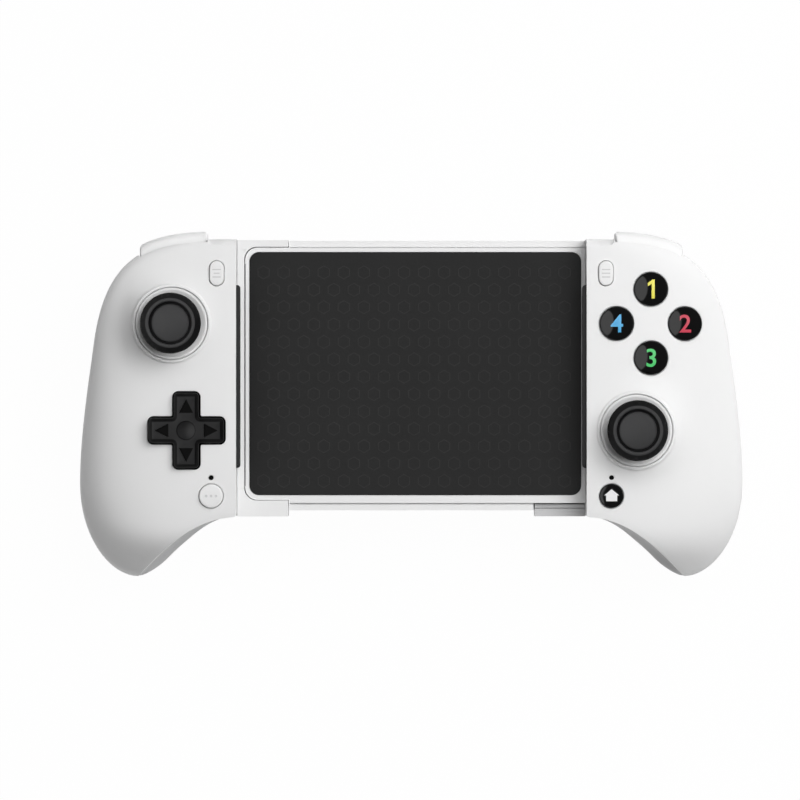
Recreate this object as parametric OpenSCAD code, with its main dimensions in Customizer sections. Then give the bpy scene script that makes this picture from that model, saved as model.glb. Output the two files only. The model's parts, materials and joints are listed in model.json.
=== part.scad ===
// Telescopic game controller: two full-size grips on a sliding bridge that holds a phone between them.
// It lies face up. +X is to its right, +Y is towards the bumpers, +Z is out of the face.

/* [Plan] */
// Distance between the inner walls of the grips when the bridge is closed
phone_gap = 107.6; // [104:0.2:114]
// How far the left grip slides out
slide_travel = 66; // [40:1:70]
// Length of a grip's inner wall
wall_len = 85.4; // [84:0.2:90]
// How far the handle tip lies below the inner wall
handle_drop = 19.1; // [17:0.1:24]
// Width of a grip from its inner wall to its outermost point
grip_w = 49.1; // [48:0.1:54]
// Straight part of the top edge beside the inner wall
shoulder_flat = 8.2; // [6:0.1:10]
// How far the hip of the outline lies inside the outermost point
hip_inset = 4.7; // [3:0.1:7]
// Height of the hip on the outline
hip_y = 19; // [14:0.5:24]
// Height of the outermost point of the outline
belly_y = -25; // [-30:0.5:-20]
// How far the handle tip lies inside the outermost point
tip_inset = 18.2; // [15:0.1:21]

/* [Heights] */
// Height of the face beside the inner wall at the top edge
face_top_h = 43; // [42:0.1:46]
// Height of the face beside the inner wall at the middle
face_mid_h = 44; // [43:0.1:47]
// Height of the face at the lower end of the inner wall
face_heel_h = 42.9; // [41:0.1:44]
// Height of the face where the handle turns down towards its tip
face_turn_h = 40; // [37:0.1:40.8]
// Height of the face's edge at the handle tip
face_tip_h = 29; // [26:0.1:32]
// How far the parting line lies below the face at the top edge
part_drop = 4.5; // [3:0.1:6]
// Height of the parting line at the middle
part_mid_h = 29; // [27:0.1:31]
// Height of the parting line at the handle tip
part_tip_h = 17.5; // [15:0.1:20]
// Depth of the rear shell at the top edge
shoulder_deep = 18.5; // [16.5:0.1:20.5]
// Height of the back at the middle
back_mid_h = 13.5; // [12:0.1:15]
// Height of the back at the handle tip
back_tip_h = 11; // [9:0.1:13]
// Wall of the shells
wall = 2; // [1.6:0.1:2.4]
// Gap between the front and rear shells
part_gap = 0.2; // [0.1:0.05:0.4]

/* [Sticks] */
// Distance of the left stick from its inner wall
high_in = 19.7; // [18.2:0.1:21.2]
// Distance of the left stick and of the face buttons' middle from the top edge
high_down = 25.95; // [24.95:0.05:26.95]
// Distance of the right stick from its inner wall
low_in = 15.2; // [14.2:0.1:16.2]
// Distance of the right stick and of the direction pad from the top edge
low_down = 58.75; // [58:0.05:59.5]
// Radius of a stick cap
cap_r = 9.3; // [8.8:0.05:9.7]
// Radius of the hole that takes a stick's trim ring
stick_hole_r = 11.2; // [11:0.05:11.5]
// Width of the rim round the trim ring
rim_w = 0.8; // [0.6:0.05:1.2]
// How far the rim of a stick's collar stands above the face
rim_rise = 1.6; // [1.2:0.1:2]
// Height of the rim above the stick's pivot
rim_over_pivot = 11; // [10.8:0.1:11.4]
// Radius of the stick's stem
stem_r = 1.6; // [1.4:0.05:1.8]

/* [Buttons] */
// Distance of each face button from the middle of the four
face_button_pitch = 10.55; // [10.2:0.05:11]
// Radius of a face button
face_button_r = 5.2; // [4.9:0.05:5.4]
// Width of the direction pad
pad_span = 23.1; // [22.5:0.1:24]
// Width of an arm of the direction pad
pad_arm = 7.7; // [7.2:0.1:8.2]
// Distance of the pill-shaped buttons from the inner wall
pill_in = 5.9; // [5.4:0.1:6.2]
// Distance of the pill-shaped buttons from the top edge
pill_down = 10.55; // [9.95:0.05:11.35]
// Width of a pill-shaped button
pill_w = 4.4; // [4:0.1:4.8]
// Length of a pill-shaped button
pill_l = 7.6; // [7:0.1:8.2]
// Distance of the small round buttons from the inner wall
round_in = 7.6; // [7.2:0.1:8.4]
// Distance of the small round buttons from the lower end of the inner wall
round_up = 6.55; // [6.05:0.05:7.05]
// Radius of a small round button
round_r = 3.65; // [3.3:0.05:3.9]
// Radius of an indicator lens
led_r = 0.7; // [0.5:0.05:0.9]
// Gap round a button in its hole
button_gap = 0.2; // [0.15:0.05:0.35]

/* [Shoulder] */
// How far a bumper stands out of the outline
bumper_proud = 2.6; // [2:0.1:3]
// Height of a bumper
bumper_h = 9.5; // [8.5:0.1:10]
// Distance of the trigger's hinge from the top edge
hinge_back = 10.95; // [10.4:0.05:11.4]
// How far the trigger's hinge lies below the bumper
hinge_drop = 4.5; // [4.3:0.1:4.9]
// Radius of the trigger's pin
pin_r = 1.25; // [1:0.05:1.4]

/* [Bridge] */
// How far the mat lies below the face
mat_drop = 10.8; // [10:0.1:11.4]
// Thickness of the mat
mat_t = 1.2; // [0.8:0.1:1.4]
// Height of the mat from its lower to its upper edge
mat_len = 75.2; // [72:0.2:76]
// Distance of the mat's upper edge from the top edge
mat_down = 3.65; // [3.35:0.05:4.15]
// Thickness of the tray
tray_t = 8.5; // [8.2:0.1:9]
// Thickness of the slider plate
slider_t = 3.4; // [3:0.1:3.6]
// Gap round the slider plate in its channel
slide_gap = 0.3; // [0.2:0.05:0.4]
// How far a rubber pad stands out of the inner wall
pad_proud = 1.1; // [0.9:0.05:1.4]

/* [Hidden] */
$fn = 48;

white = [0.93, 0.93, 0.93];
pale = [0.86, 0.86, 0.87];
black = [0.12, 0.12, 0.13];
dark = [0.2, 0.2, 0.21];
steel = [0.75, 0.76, 0.78];
green = [0.1, 0.35, 0.2];

// Levels of the plan, with the whole object centred on the origin
wall_x = phone_gap / 2;
max_x = wall_x + grip_w;
body_len = wall_len + handle_drop + bumper_proud;
wall_top = body_len / 2 - bumper_proud;
wall_bottom = wall_top - wall_len;
tip_x = max_x - tip_inset;
tip_y = wall_bottom - handle_drop;
mat_top_y = wall_top - mat_down;

// How far the outline's curves pull away from their ends
shoulder_pull = 20;
hip_pull = [3.7, 26];
flank_pull = [1.7, 12];
belly_pull = 15;
tip_pull = 10.3;
heel_pull = 12.2;
heel_end_pull = [8.7, 9.8];
heel_end = [0.2, 0.3];

// Curves of a grip's outline, each with two end points and two pulls
shoulder = [
  [wall_x + shoulder_flat, wall_top],
  [wall_x + shoulder_flat + shoulder_pull, wall_top],
  [max_x - hip_inset - hip_pull[0], hip_y + hip_pull[1]],
  [max_x - hip_inset, hip_y]
];
flank = [
  [max_x - hip_inset, hip_y],
  [max_x - hip_inset + flank_pull[0], hip_y - flank_pull[1]],
  [max_x, belly_y + belly_pull],
  [max_x, belly_y]
];
tail = [
  [max_x, belly_y],
  [max_x, belly_y - belly_pull],
  [tip_x + tip_pull, tip_y],
  [tip_x, tip_y]
];
heel = [
  [wall_x, wall_bottom],
  [wall_x + heel_pull, wall_bottom],
  [tip_x - heel_end_pull[0], tip_y + heel_end_pull[1]],
  [tip_x, tip_y] + heel_end
];

// Places and levels of the height lines between their named ends
crown_y = 5;
shoulder_y = 30;
part_mid_y = 0;
part_heel_drop = 5.5;
belly_h = 1.6;
lowest_back = 2;
tip_rise_back = 7;
tip_rise_h = 3.5;
face_turn_back = 9;

// Levels that follow the face
part_top_h = face_top_h - part_drop;
back_top_h = part_top_h - shoulder_deep;
mat_h = face_mid_h - mat_drop;

// Heights along a grip, each as a place on Y and a height
face_line = [
  [wall_top, face_top_h],
  [crown_y, face_mid_h],
  [wall_bottom, face_heel_h],
  [tip_y + face_turn_back, face_turn_h],
  [tip_y, face_tip_h]
];
part_line = [
  [wall_top, part_top_h],
  [shoulder_y, (part_top_h + part_mid_h) / 2],
  [part_mid_y, part_mid_h],
  [wall_bottom, part_mid_h - part_heel_drop],
  [tip_y, part_tip_h]
];
back_line = [
  [wall_top, back_top_h],
  [shoulder_y, (back_top_h + back_mid_h) / 2],
  [crown_y, back_mid_h],
  [belly_y, belly_h],
  [wall_bottom - lowest_back, 0],
  [tip_y + tip_rise_back, tip_rise_h],
  [tip_y, back_tip_h]
];

// Bulge of the handle's back past the front shell's lower edge, and the widths over which it grows
heel_bulge = 5.4;
bulge_over = 4;
bulge_half = 8;
// Roundness of the section: 2 is an ellipse, larger is squarer
face_round = 2.4;
back_round = 2.2;
wall_round = 9;
heel_round = 2.4;
tail_end = 0.92;
tail_end_inside = 0.78;

// Curve helpers
function bez(p, t) =
  pow(1 - t, 3) * p[0] + 3 * t * pow(1 - t, 2) * p[1] + 3 * t * t * (1 - t) * p[2] + pow(t, 3) * p[3];
function bez_dir(p, t) =
  3 * pow(1 - t, 2) * (p[1] - p[0]) + 6 * t * (1 - t) * (p[2] - p[1]) + 3 * t * t * (p[3] - p[2]);
function unit(v) = v / norm(v);
function lerp(a, b, t) = a + (b - a) * t;
function clamp01(t) = min(1, max(0, t));
function ease(t) = clamp01(t) * clamp01(t) * (3 - 2 * clamp01(t));
function bez_t(p, y, lo = 0, hi = 1, n = 26) =
  n == 0 ? (lo + hi) / 2
  : bez(p, (lo + hi) / 2)[1] > y ? bez_t(p, y, (lo + hi) / 2, hi, n - 1)
  : bez_t(p, y, lo, (lo + hi) / 2, n - 1);

// Smooth line through places and heights that run down in Y
function slope_at(line, i) =
  i == 0 ? (line[1][1] - line[0][1]) / (line[1][0] - line[0][0])
  : i == len(line) - 1 ? (line[i][1] - line[i - 1][1]) / (line[i][0] - line[i - 1][0])
  : (line[i + 1][1] - line[i - 1][1]) / (line[i + 1][0] - line[i - 1][0]);
function span_of(line, y, i = 0) =
  i >= len(line) - 2 || y >= line[i + 1][0] ? i : span_of(line, y, i + 1);
function hermite(a, b, sa, sb, w, t) =
  a * (2 * t * t * t - 3 * t * t + 1) + sa * w * (t * t * t - 2 * t * t + t)
  + b * (3 * t * t - 2 * t * t * t) + sb * w * (t * t * t - t * t);
function height_in(line, y, i) =
  let (w = line[i + 1][0] - line[i][0])
  hermite(line[i][1], line[i + 1][1], slope_at(line, i), slope_at(line, i + 1), w, (y - line[i][0]) / w);
function height(line, y) =
  let (yc = min(line[0][0], max(line[len(line) - 1][0], y)))
  height_in(line, yc, span_of(line, yc));

// Outline of a grip at a height on the plan
function outer_x(y) =
  y >= hip_y ? bez(shoulder, bez_t(shoulder, y))[0]
  : y >= belly_y ? bez(flank, bez_t(flank, y))[0]
  : bez(tail, bez_t(tail, y))[0];
heel_shift = [[1, 1], [0.3, 1], [0.75, 0.7], [0.75, 0.7]];
function inner_x(y, inset = 0) =
  let (edge = heel + inset * heel_shift)
  y >= edge[0][1] ? wall_x + inset : bez(edge, bez_t(edge, y))[0];
// Drop of the face from the inner wall's plane, at 0, to the outline, at 1
function face_drop(v) = 1 - sqrt(max(0, 1 - pow(clamp01(v), face_round)));
function face_z(p) =
  let (v = (p[0] - wall_x) / (outer_x(p[1]) - wall_x))
  lerp(height(face_line, p[1]), height(part_line, p[1]), face_drop(v));
function inner_round(y) = lerp(wall_round, heel_round, ease((crown_y - y) / (crown_y - tip_y)));
function back_z(p) =
  let (mid = (outer_x(p[1]) + inner_x(p[1])) / 2)
  let (q = abs(p[0] - mid) / (outer_x(p[1]) - mid))
  let (n = p[0] > mid ? back_round : inner_round(p[1]))
  let (zp = height(part_line, p[1]))
  zp - (zp - height(back_line, p[1])) * pow(max(0, 1 - pow(q, n)), 1 / n);

// Stations down the outline, each as its point and its inward normal
function station(p, t) =
  let (d = unit(bez_dir(p, t)))
  [bez(p, t), [d[1], -d[0]]];
function stations(end) = concat(
  [for (k = [0:8]) station(shoulder, k / 8)],
  [for (k = [1:4]) station(flank, k / 4)],
  [for (k = [1:12]) station(tail, end * k / 12)]
);

// Section of a grip across X: its place on Y, its inner end and its outer end
function section(s, inset) =
  let (b = s[0] + inset * s[1])
  [b[1], inner_x(b[1], inset), b[0]];

face_steps = 13;
function face_row(s, inset) =
  let (c = section(s, inset))
  let (top = height(face_line, c[0]) - inset)
  let (rim = height(part_line, c[0]) + part_gap / 2)
  concat(
    [[c[1], c[0], rim]],
    [for (k = [0:face_steps])
      let (x = lerp(c[1], c[2], sin(90 * k / face_steps)))
      let (v = (x - wall_x - inset) / (c[2] - wall_x - inset))
      [x, c[0], lerp(top, rim, face_drop(v))]]
  );

back_steps = 18;
function back_row(s, inset) =
  let (c = section(s, inset))
  let (mid = (c[1] + c[2]) / 2)
  let (half = (c[2] - c[1]) / 2)
  let (rim = height(part_line, c[0]) - part_gap / 2)
  let (depth = rim - height(back_line, c[0]) - inset)
  let (bulge = heel_bulge * ease((wall_bottom - c[0]) / bulge_over) * sin(90 * min(1, half / bulge_half)))
  [for (k = [0:back_steps])
    let (a = 180 * k / back_steps)
    let (n = a <= 90 ? back_round : inner_round(c[0]))
    let (reach = a <= 90 ? half : -half - bulge * sin(2 * (a - 90)))
    [mid + reach * pow(abs(cos(a)), 2 / n), c[0], rim - depth * pow(sin(a), 2 / n)]];

// Open shell between an outer and an inner skin, each a list of rows, joined round the rim
function quad(a, b, c, d) = [[a, b, c], [a, c, d]];
module cup(outer, inner) {
  n = len(outer);
  m = len(outer[0]);
  function out(i, j) = i * m + j;
  function ins(i, j) = (n + i) * m + j;
  skins = [for (i = [0:n - 2], j = [0:m - 2]) each concat(
    quad(out(i, j), out(i, j + 1), out(i + 1, j + 1), out(i + 1, j)),
    quad(ins(i, j), ins(i + 1, j), ins(i + 1, j + 1), ins(i, j + 1))
  )];
  caps = [for (j = [1:m - 2]) each [
    [out(0, 0), out(0, j + 1), out(0, j)],
    [out(n - 1, 0), out(n - 1, j), out(n - 1, j + 1)],
    [ins(0, 0), ins(0, j), ins(0, j + 1)],
    [ins(n - 1, 0), ins(n - 1, j + 1), ins(n - 1, j)]
  ]];
  sides = [for (i = [0:n - 2]) each concat(
    quad(out(i, 0), out(i + 1, 0), ins(i + 1, 0), ins(i, 0)),
    quad(out(i, m - 1), ins(i, m - 1), ins(i + 1, m - 1), out(i + 1, m - 1))
  )];
  ends = concat(
    quad(out(0, 0), ins(0, 0), ins(0, m - 1), out(0, m - 1)),
    quad(out(n - 1, 0), out(n - 1, m - 1), ins(n - 1, m - 1), ins(n - 1, 0))
  );
  points = concat([for (row = outer) each row], [for (row = inner) each row]);
  polyhedron(points, concat(skins, caps, sides, ends), convexity = 8);
}

// Solid bar through closed rings of points
module bar(rings) {
  n = len(rings);
  m = len(rings[0]);
  function at(i, j) = i * m + j % m;
  sides = [for (i = [0:n - 2], j = [0:m - 1]) each
    quad(at(i, j), at(i, j + 1), at(i + 1, j + 1), at(i + 1, j))];
  caps = [for (j = [1:m - 2]) each [
    [at(0, 0), at(0, j + 1), at(0, j)],
    [at(n - 1, 0), at(n - 1, j), at(n - 1, j + 1)]
  ]];
  polyhedron([for (ring = rings) each ring], concat(sides, caps), convexity = 4);
}

// Plain shapes used by several pieces
module left() {
  mirror([1, 0, 0]) children();
}
module box(low, high) {
  translate(low) cube(high - low);
}
module rod_x(x0, x1, y, z, r) {
  translate([x0, y, z]) rotate([0, 90, 0]) cylinder(r = r, h = x1 - x0);
}
module rod_y(x, y0, y1, z, r) {
  translate([x, y0, z]) rotate([-90, 0, 0]) cylinder(r = r, h = y1 - y0);
}
module rod_z(p, z0, z1, r) {
  translate([p[0], p[1], z0]) cylinder(r = r, h = z1 - z0);
}
module pill_2d(w, l) {
  square([w, l - w], center = true);
  for (s = [-1, 1]) translate([0, s * (l - w) / 2]) circle(d = w);
}
module pill(p, w, l, z0, z1) {
  translate([p[0], p[1], z0]) linear_extrude(z1 - z0) pill_2d(w, l);
}
module round_rect(x0, y0, x1, y1, r) {
  translate([x0 + r, y0]) square([x1 - x0 - 2 * r, y1 - y0]);
  translate([x0, y0 + r]) square([x1 - x0, y1 - y0 - 2 * r]);
  for (x = [x0 + r, x1 - r], y = [y0 + r, y1 - r]) translate([x, y]) circle(r);
}
module rect(x0, y0, x1, y1) {
  translate([x0, y0]) square([x1 - x0, y1 - y0]);
}

// Places of the controls, on a right-hand grip
low_place = [wall_x + low_in, wall_top - low_down];
high_place = [wall_x + high_in, wall_top - high_down];
pill_place = [wall_x + pill_in, wall_top - pill_down];
round_place = [wall_x + round_in, wall_bottom + round_up];
led_up = 5.6;
led_place = round_place + [0, led_up];
back_in = 22.2;
back_down = 56.95;
back_place = [wall_x + back_in, wall_top - back_down];
face_turns = [0, 90, 180, 270];
function face_place(turn) = high_place + face_button_pitch * [cos(turn), sin(turn)];

// Inner levels and the holes that the shells share
pivot_over_board = 3.46;
pcb_top = min(pivot_z(high_place), pivot_z(low_place)) - pivot_over_board;
pcb_t = 1.6;
pcb_bottom = pcb_top - pcb_t;
screw_in = 4.9;
top_screw_down = 3;
mid_screw_down = 42.75;
tip_screw_in = 12.9;
tip_screw_down = 5.5;
screw_places = [
  [wall_x + screw_in, wall_top - top_screw_down],
  [wall_x + screw_in, wall_top - mid_screw_down],
  [max_x - tip_screw_in, wall_bottom - tip_screw_down]
];
screw_r = 1.05;
screw_head_r = 1.9;
screw_head_h = 1.4;
screw_sink = 3.4;
boss_r = 2.6;
screw_fit = 0.02;
function boss_top(p) = face_z(p + [boss_r, -boss_r]) - wall / 2;
peg_r = 1.8;
peg_gap = 0.1;
peg_places = [[wall_top - 14.95, mat_h - 5.2], [wall_bottom + 17.95, mat_h - 2.2]];
part_seat = 0.9;

// Stick module
function rim_z(p) = face_z(p) + rim_rise;
function pivot_z(p) = rim_z(p) - rim_over_pivot;
collar_foot_r = 16;
collar_depth = 6.2;
collar_r = stick_hole_r + rim_w;
collar_curve = 2.2;
function collar_edge(s) =
  [lerp(collar_r, collar_foot_r, s), -collar_depth * (1 - pow(1 - s, collar_curve))];
module stick_collar(p) {
  edge = [for (k = [0:8]) collar_edge(k / 8)];
  under = [for (k = [8:-1:0]) collar_edge(k / 8) - [0, wall]];
  intersection() {
    translate([p[0], p[1], rim_z(p)])
      rotate_extrude($fn = 64)
        polygon(concat([[stick_hole_r - 1, 0]], edge, under, [[stick_hole_r - 1, -wall]]));
    translate([wall_x + wall / 3, -body_len, 0]) cube([2 * grip_w, 2 * body_len, 2 * face_mid_h]);
  }
}

ring_gap = 0.1;
ring_bore_r = 8.4;
ring_t = 1.9;
module stick_ring(p) {
  r = stick_hole_r - ring_gap;
  translate([p[0], p[1], rim_z(p)])
    rotate_extrude($fn = 64)
      polygon([[r, -ring_t], [r, -0.1], [r - 0.8, -0.1], [ring_bore_r, -1.2], [ring_bore_r, -ring_t]]);
}

housing_half = 6.8;
housing_wall = 0.9;
housing_rise = 3.2;
housing_floor = 0.3;
rocker_gap = 0.05;
x_pin_r = 0.8;
y_pin_r = 0.7;
x_frame = [5.2, 4.9, 1.3];
x_window = [3.7, 3.5];
y_block = [2.9, 3.1, 1.4];
module stick_housing(p) {
  z = pivot_z(p);
  inner = housing_half - housing_wall;
  difference() {
    box([p[0] - housing_half, p[1] - housing_half, pcb_top],
      [p[0] + housing_half, p[1] + housing_half, z + housing_rise]);
    box([p[0] - inner, p[1] - inner, pcb_top + housing_floor],
      [p[0] + inner, p[1] + inner, z + housing_rise + 1]);
    rod_x(p[0] - housing_half - 1, p[0] + housing_half + 1, p[1], z, x_pin_r + rocker_gap);
  }
}
module stick_x_rocker(p) {
  translate([p[0], p[1], pivot_z(p)]) difference() {
    union() {
      cube(2 * x_frame, center = true);
      rod_x(-housing_half + 0.1, housing_half - 0.1, 0, 0, x_pin_r);
    }
    cube([2 * x_window[0], 2 * x_window[1], 4 * x_frame[2]], center = true);
    rod_y(0, -x_frame[1] - 1, x_frame[1] + 1, 0, y_pin_r + rocker_gap);
  }
}
module stick_y_rocker(p) {
  translate([p[0], p[1], pivot_z(p)]) difference() {
    union() {
      cube(2 * y_block, center = true);
      rod_y(0, -x_frame[1] + 0.1, x_frame[1] - 0.1, 0, y_pin_r);
    }
    cylinder(r = stem_r + rocker_gap, h = 3 * y_block[2], center = true);
  }
}
stem_low = 1.5;
stem_high = 16.8;
module stick_stem(p) {
  rod_z(p, pivot_z(p) - stem_low, pivot_z(p) + stem_high, stem_r);
}

// Stick cap, as a profile from the pivot: a dome that fills the hole, a neck, a rim and a dished top
dome_r = 11.9;
dome_t = 1;
dome_reach = 60;
neck_r = 3.6;
cap_under = 16.6;
function dome_arc(r, from, to) = [for (k = [0:8]) let (a = lerp(from, to, k / 8)) r * [sin(a), cos(a)]];
module stick_cap(p) {
  bore = stem_r + rocker_gap;
  inside = dome_r - dome_t;
  profile = concat(
    dome_arc(inside, asin(bore / inside), dome_reach),
    dome_arc(dome_r, dome_reach, asin(neck_r / dome_r)),
    [[neck_r, cap_under - 1.4], [neck_r + 0.9, cap_under - 0.3], [cap_r - 0.9, cap_under]],
    [[cap_r, cap_under + 0.9], [cap_r, cap_under + 1.9], [cap_r - 0.5, cap_under + 2.7]],
    [[cap_r - 1.5, cap_under + 3.7], [cap_r - 1.9, cap_under + 4], [cap_r - 2.6, cap_under + 4]],
    [[cap_r - 2.9, cap_under + 3.7], [cap_r - 3.1, cap_under + 3], [cap_r - 3.5, cap_under + 3.2]],
    [[2.8, cap_under + 2.8], [0, cap_under + 2.6]],
    [[0, stem_high + 0.1], [bore, stem_high + 0.1]]
  );
  translate([p[0], p[1], pivot_z(p)]) rotate_extrude($fn = 64) polygon(profile);
}

// Buttons
button_rise = 2.3;
button_flange = 5.2;
button_skirt = 0.85;
plunger_r = 2.2;
plunger_z = pcb_top + 4;
dome_top_r = 11;
module face_button(turn) {
  p = face_place(turn);
  top = face_z(p) + button_rise;
  low = face_z(p) - button_flange;
  sag = dome_top_r - sqrt(dome_top_r * dome_top_r - pow(face_button_r - 0.5, 2));
  crown = [for (k = [0:6]) let (r = (face_button_r - 0.5) * k / 6)
    [r, top - dome_top_r + sqrt(dome_top_r * dome_top_r - r * r)]];
  translate([p[0], p[1], 0]) rotate_extrude($fn = 64) polygon(concat(
    crown,
    [[face_button_r, top - sag - 0.5], [face_button_r, low]],
    [[face_button_r + button_skirt, low], [face_button_r + button_skirt, low - 1.2]],
    [[plunger_r, low - 1.2], [plunger_r, plunger_z], [0, plunger_z]]
  ));
}
membrane_t = 1;
membrane_gap = 0.15;
membrane_pad_r = 5;
module face_button_membrane() {
  difference() {
    union() {
      rod_z(high_place, pcb_top, pcb_top + membrane_t, face_button_pitch - 2);
      for (turn = face_turns) {
        rod_z(face_place(turn), pcb_top, pcb_top + membrane_t, membrane_pad_r);
        translate(concat(face_place(turn), pcb_top))
          cylinder(r1 = 4.2, r2 = 2.6, h = plunger_z - membrane_gap - pcb_top);
      }
    }
    for (turn = face_turns) translate(concat(face_place(turn), pcb_top - 1))
      cylinder(r1 = 3.4, r2 = 1.8, h = plunger_z - pcb_top - 0.6);
  }
}

tact_h = 1.6;
tact_half = 2;
tact_plunger_r = 1;
tact_top = pcb_top + tact_h + 0.8;
tact_gap = 0.65;
module tact_switches() {
  for (p = [pill_place, round_place]) {
    box([p[0] - tact_half, p[1] - tact_half, pcb_top],
      [p[0] + tact_half, p[1] + tact_half, pcb_top + tact_h]);
    rod_z(p, pcb_top + tact_h, tact_top, tact_plunger_r);
  }
}
small_rise = 0.9;
small_flange = 4.2;
small_flange_t = 1;
small_skirt = 0.5;
small_stem_r = 1.3;
small_lap = 0.3;
module pill_button() {
  z = face_z(pill_place);
  pill(pill_place, pill_w, pill_l, z - small_flange - small_lap, z + small_rise);
  pill(pill_place, pill_w + 2 * small_skirt, pill_l + 2 * small_skirt,
    z - small_flange - small_flange_t, z - small_flange);
  rod_z(pill_place, tact_top + tact_gap, z - small_flange - small_flange_t + small_lap, small_stem_r);
}
module round_button() {
  z = face_z(round_place);
  rod_z(round_place, z - small_flange - small_lap, z + small_rise, round_r);
  rod_z(round_place, z - small_flange - small_flange_t, z - small_flange, round_r + small_skirt);
  rod_z(round_place, tact_top + tact_gap, z - small_flange - small_flange_t + small_lap, small_stem_r);
}
led_fit = 0.05;
module led_lens() {
  rod_z(led_place, face_z(led_place) - 3, face_z(led_place) + 0.15, led_r);
}

// Direction pad
pad_corner = 1.3;
pad_gap = 0.5;
pad_rise = 2.6;
pad_flange_r = pad_span / 2 + 1;
ball_r = 2;
ball_gap = 0.1;
ball_drop = 6.6;
ball_z = face_z(low_place) - ball_drop;
pad_low = ball_z + 0.4;
pad_flange_t = 1;
module cross_2d(grow) {
  half = pad_span / 2 + grow;
  arm = pad_arm / 2 + grow;
  r = pad_corner + grow;
  round_rect(-half, -arm, half, arm, r);
  round_rect(-arm, -half, arm, half, r);
}
arrow_in = 6.2;
arrow_l = 3.6;
arrow_half = 2.2;
arrow_deep = 0.5;
pad_dish_r = 2.95;
pad_dish_up = 8;
module dpad() {
  top = face_z(low_place) + pad_rise;
  difference() {
    translate([low_place[0], low_place[1], 0]) difference() {
      union() {
        translate([0, 0, pad_low]) linear_extrude(top - pad_low) cross_2d(0);
        translate([0, 0, pad_low]) cylinder(r = pad_flange_r, h = pad_flange_t);
      }
      for (turn = face_turns) rotate(turn) translate([0, 0, top - arrow_deep])
        linear_extrude(2 * arrow_deep)
          polygon([[arrow_in, -arrow_half], [arrow_in + arrow_l, 0], [arrow_in, arrow_half]]);
      translate([0, 0, top + pad_dish_up]) sphere(norm([pad_dish_r, pad_dish_up]));
    }
    translate([low_place[0], low_place[1], ball_z]) sphere(ball_r + ball_gap);
  }
}
module dpad_ball() {
  translate([low_place[0], low_place[1], ball_z]) sphere(ball_r);
}
pad_dome_at = 9.2;
module dpad_membrane() {
  difference() {
    union() {
      rod_z(low_place, pcb_top, pcb_top + membrane_t, pad_flange_r);
      rod_z(low_place, pcb_top, ball_z - 0.3, ball_r + 0.6);
      for (turn = face_turns) translate(concat(low_place + pad_dome_at * [cos(turn), sin(turn)], pcb_top))
        cylinder(r1 = 3.4, r2 = 2.2, h = pad_low - membrane_gap - pcb_top);
    }
    translate([low_place[0], low_place[1], ball_z]) sphere(ball_r + ball_gap);
  }
}

// Boards
pcb_edge = 0.7;
pcb_from_wall = wall_x + wall + pcb_edge;
pcb_over_buttons = 4.6;
pcb_high = high_place[1] + face_button_pitch + pcb_over_buttons;
module pcb() {
  pcb_tongue = notch_in - 0.2;
  outline = [
    [pcb_from_wall, pill_place[1] + 3.1], [pcb_tongue, pill_place[1] + 3.1], [pcb_tongue, pcb_high],
    [high_place[0] + 5.5, pcb_high],
    [max_x - 17, pcb_high - 7.2], [max_x - 11, hip_y + 3], [max_x - 7.4, 0], [max_x - 7.4, belly_y + 1],
    [max_x - 17, wall_bottom + 1.4], [tip_x - 14.7, wall_bottom + 1.4], [wall_x + 10, wall_bottom + 4],
    [pcb_from_wall, wall_bottom + 4]
  ];
  translate([0, 0, pcb_bottom]) linear_extrude(pcb_t) difference() {
    polygon(outline);
    translate(screw_places[1]) circle(boss_r + 0.5);
  }
}
battery_size = [22, 23, 5];
module battery() {
  corner = [low_place[0] - 5, low_place[1] - 25, pcb_bottom - 0.2 - battery_size[2]];
  box(corner, corner + battery_size);
}

// Charging socket on the lower edge of the right grip
usb_x = wall_x + 7;
usb_w = 8.9;
usb_h = 3.2;
usb_l = 7.4;
usb_z = pcb_bottom - 0.1 - usb_h / 2;
usb_y = wall_bottom + 0.8;
usb_gap = 0.3;
module usb_slot(y0, y1, grow) {
  h = usb_h + 2 * grow;
  reach = (usb_w - usb_h) / 2;
  for (s = [-1, 1]) rod_y(usb_x + s * reach, y0, y1, usb_z, h / 2);
  box([usb_x - reach, y0, usb_z - h / 2], [usb_x + reach, y1, usb_z + h / 2]);
}
module usb_socket() {
  difference() {
    usb_slot(usb_y, usb_y + usb_l, 0);
    usb_slot(usb_y - 1, usb_y + usb_l - 1, -0.35);
  }
  box([usb_x - 3.3, usb_y + 0.8, usb_z - 0.35], [usb_x + 3.3, usb_y + usb_l - 0.5, usb_z + 0.35]);
}

// Shoulder: bumper, trigger and the frame that carries them
hinge_y = wall_top - hinge_back;
bumper_from_wall = 9;
bumper_l = 20.9;
bumper_in = wall_x + bumper_from_wall;
bumper_out = bumper_in + bumper_l;
bumper_deep = 6;
bumper_seat = 0.5;
bumper_low = part_top_h - bumper_seat - bumper_h;
crossbar_up = 2.2;
crossbar_gap = 0.5;
hinge_z = min(bumper_low - hinge_drop, pcb_bottom - crossbar_gap - crossbar_up);
notch_in = bumper_in - 0.3;
notch_out = bumper_out + 0.7;
notch_y = hinge_y - 4.2;
crossbar_y = hinge_y - 6.6;
function bez_t_x(p, x, lo = 0, hi = 1, n = 26) =
  n == 0 ? (lo + hi) / 2
  : bez(p, (lo + hi) / 2)[0] < x ? bez_t_x(p, x, (lo + hi) / 2, hi, n - 1)
  : bez_t_x(p, x, lo, (lo + hi) / 2, n - 1);
bumper_t0 = bez_t_x(shoulder, bumper_in);
bumper_t1 = bez_t_x(shoulder, bumper_out);
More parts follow.
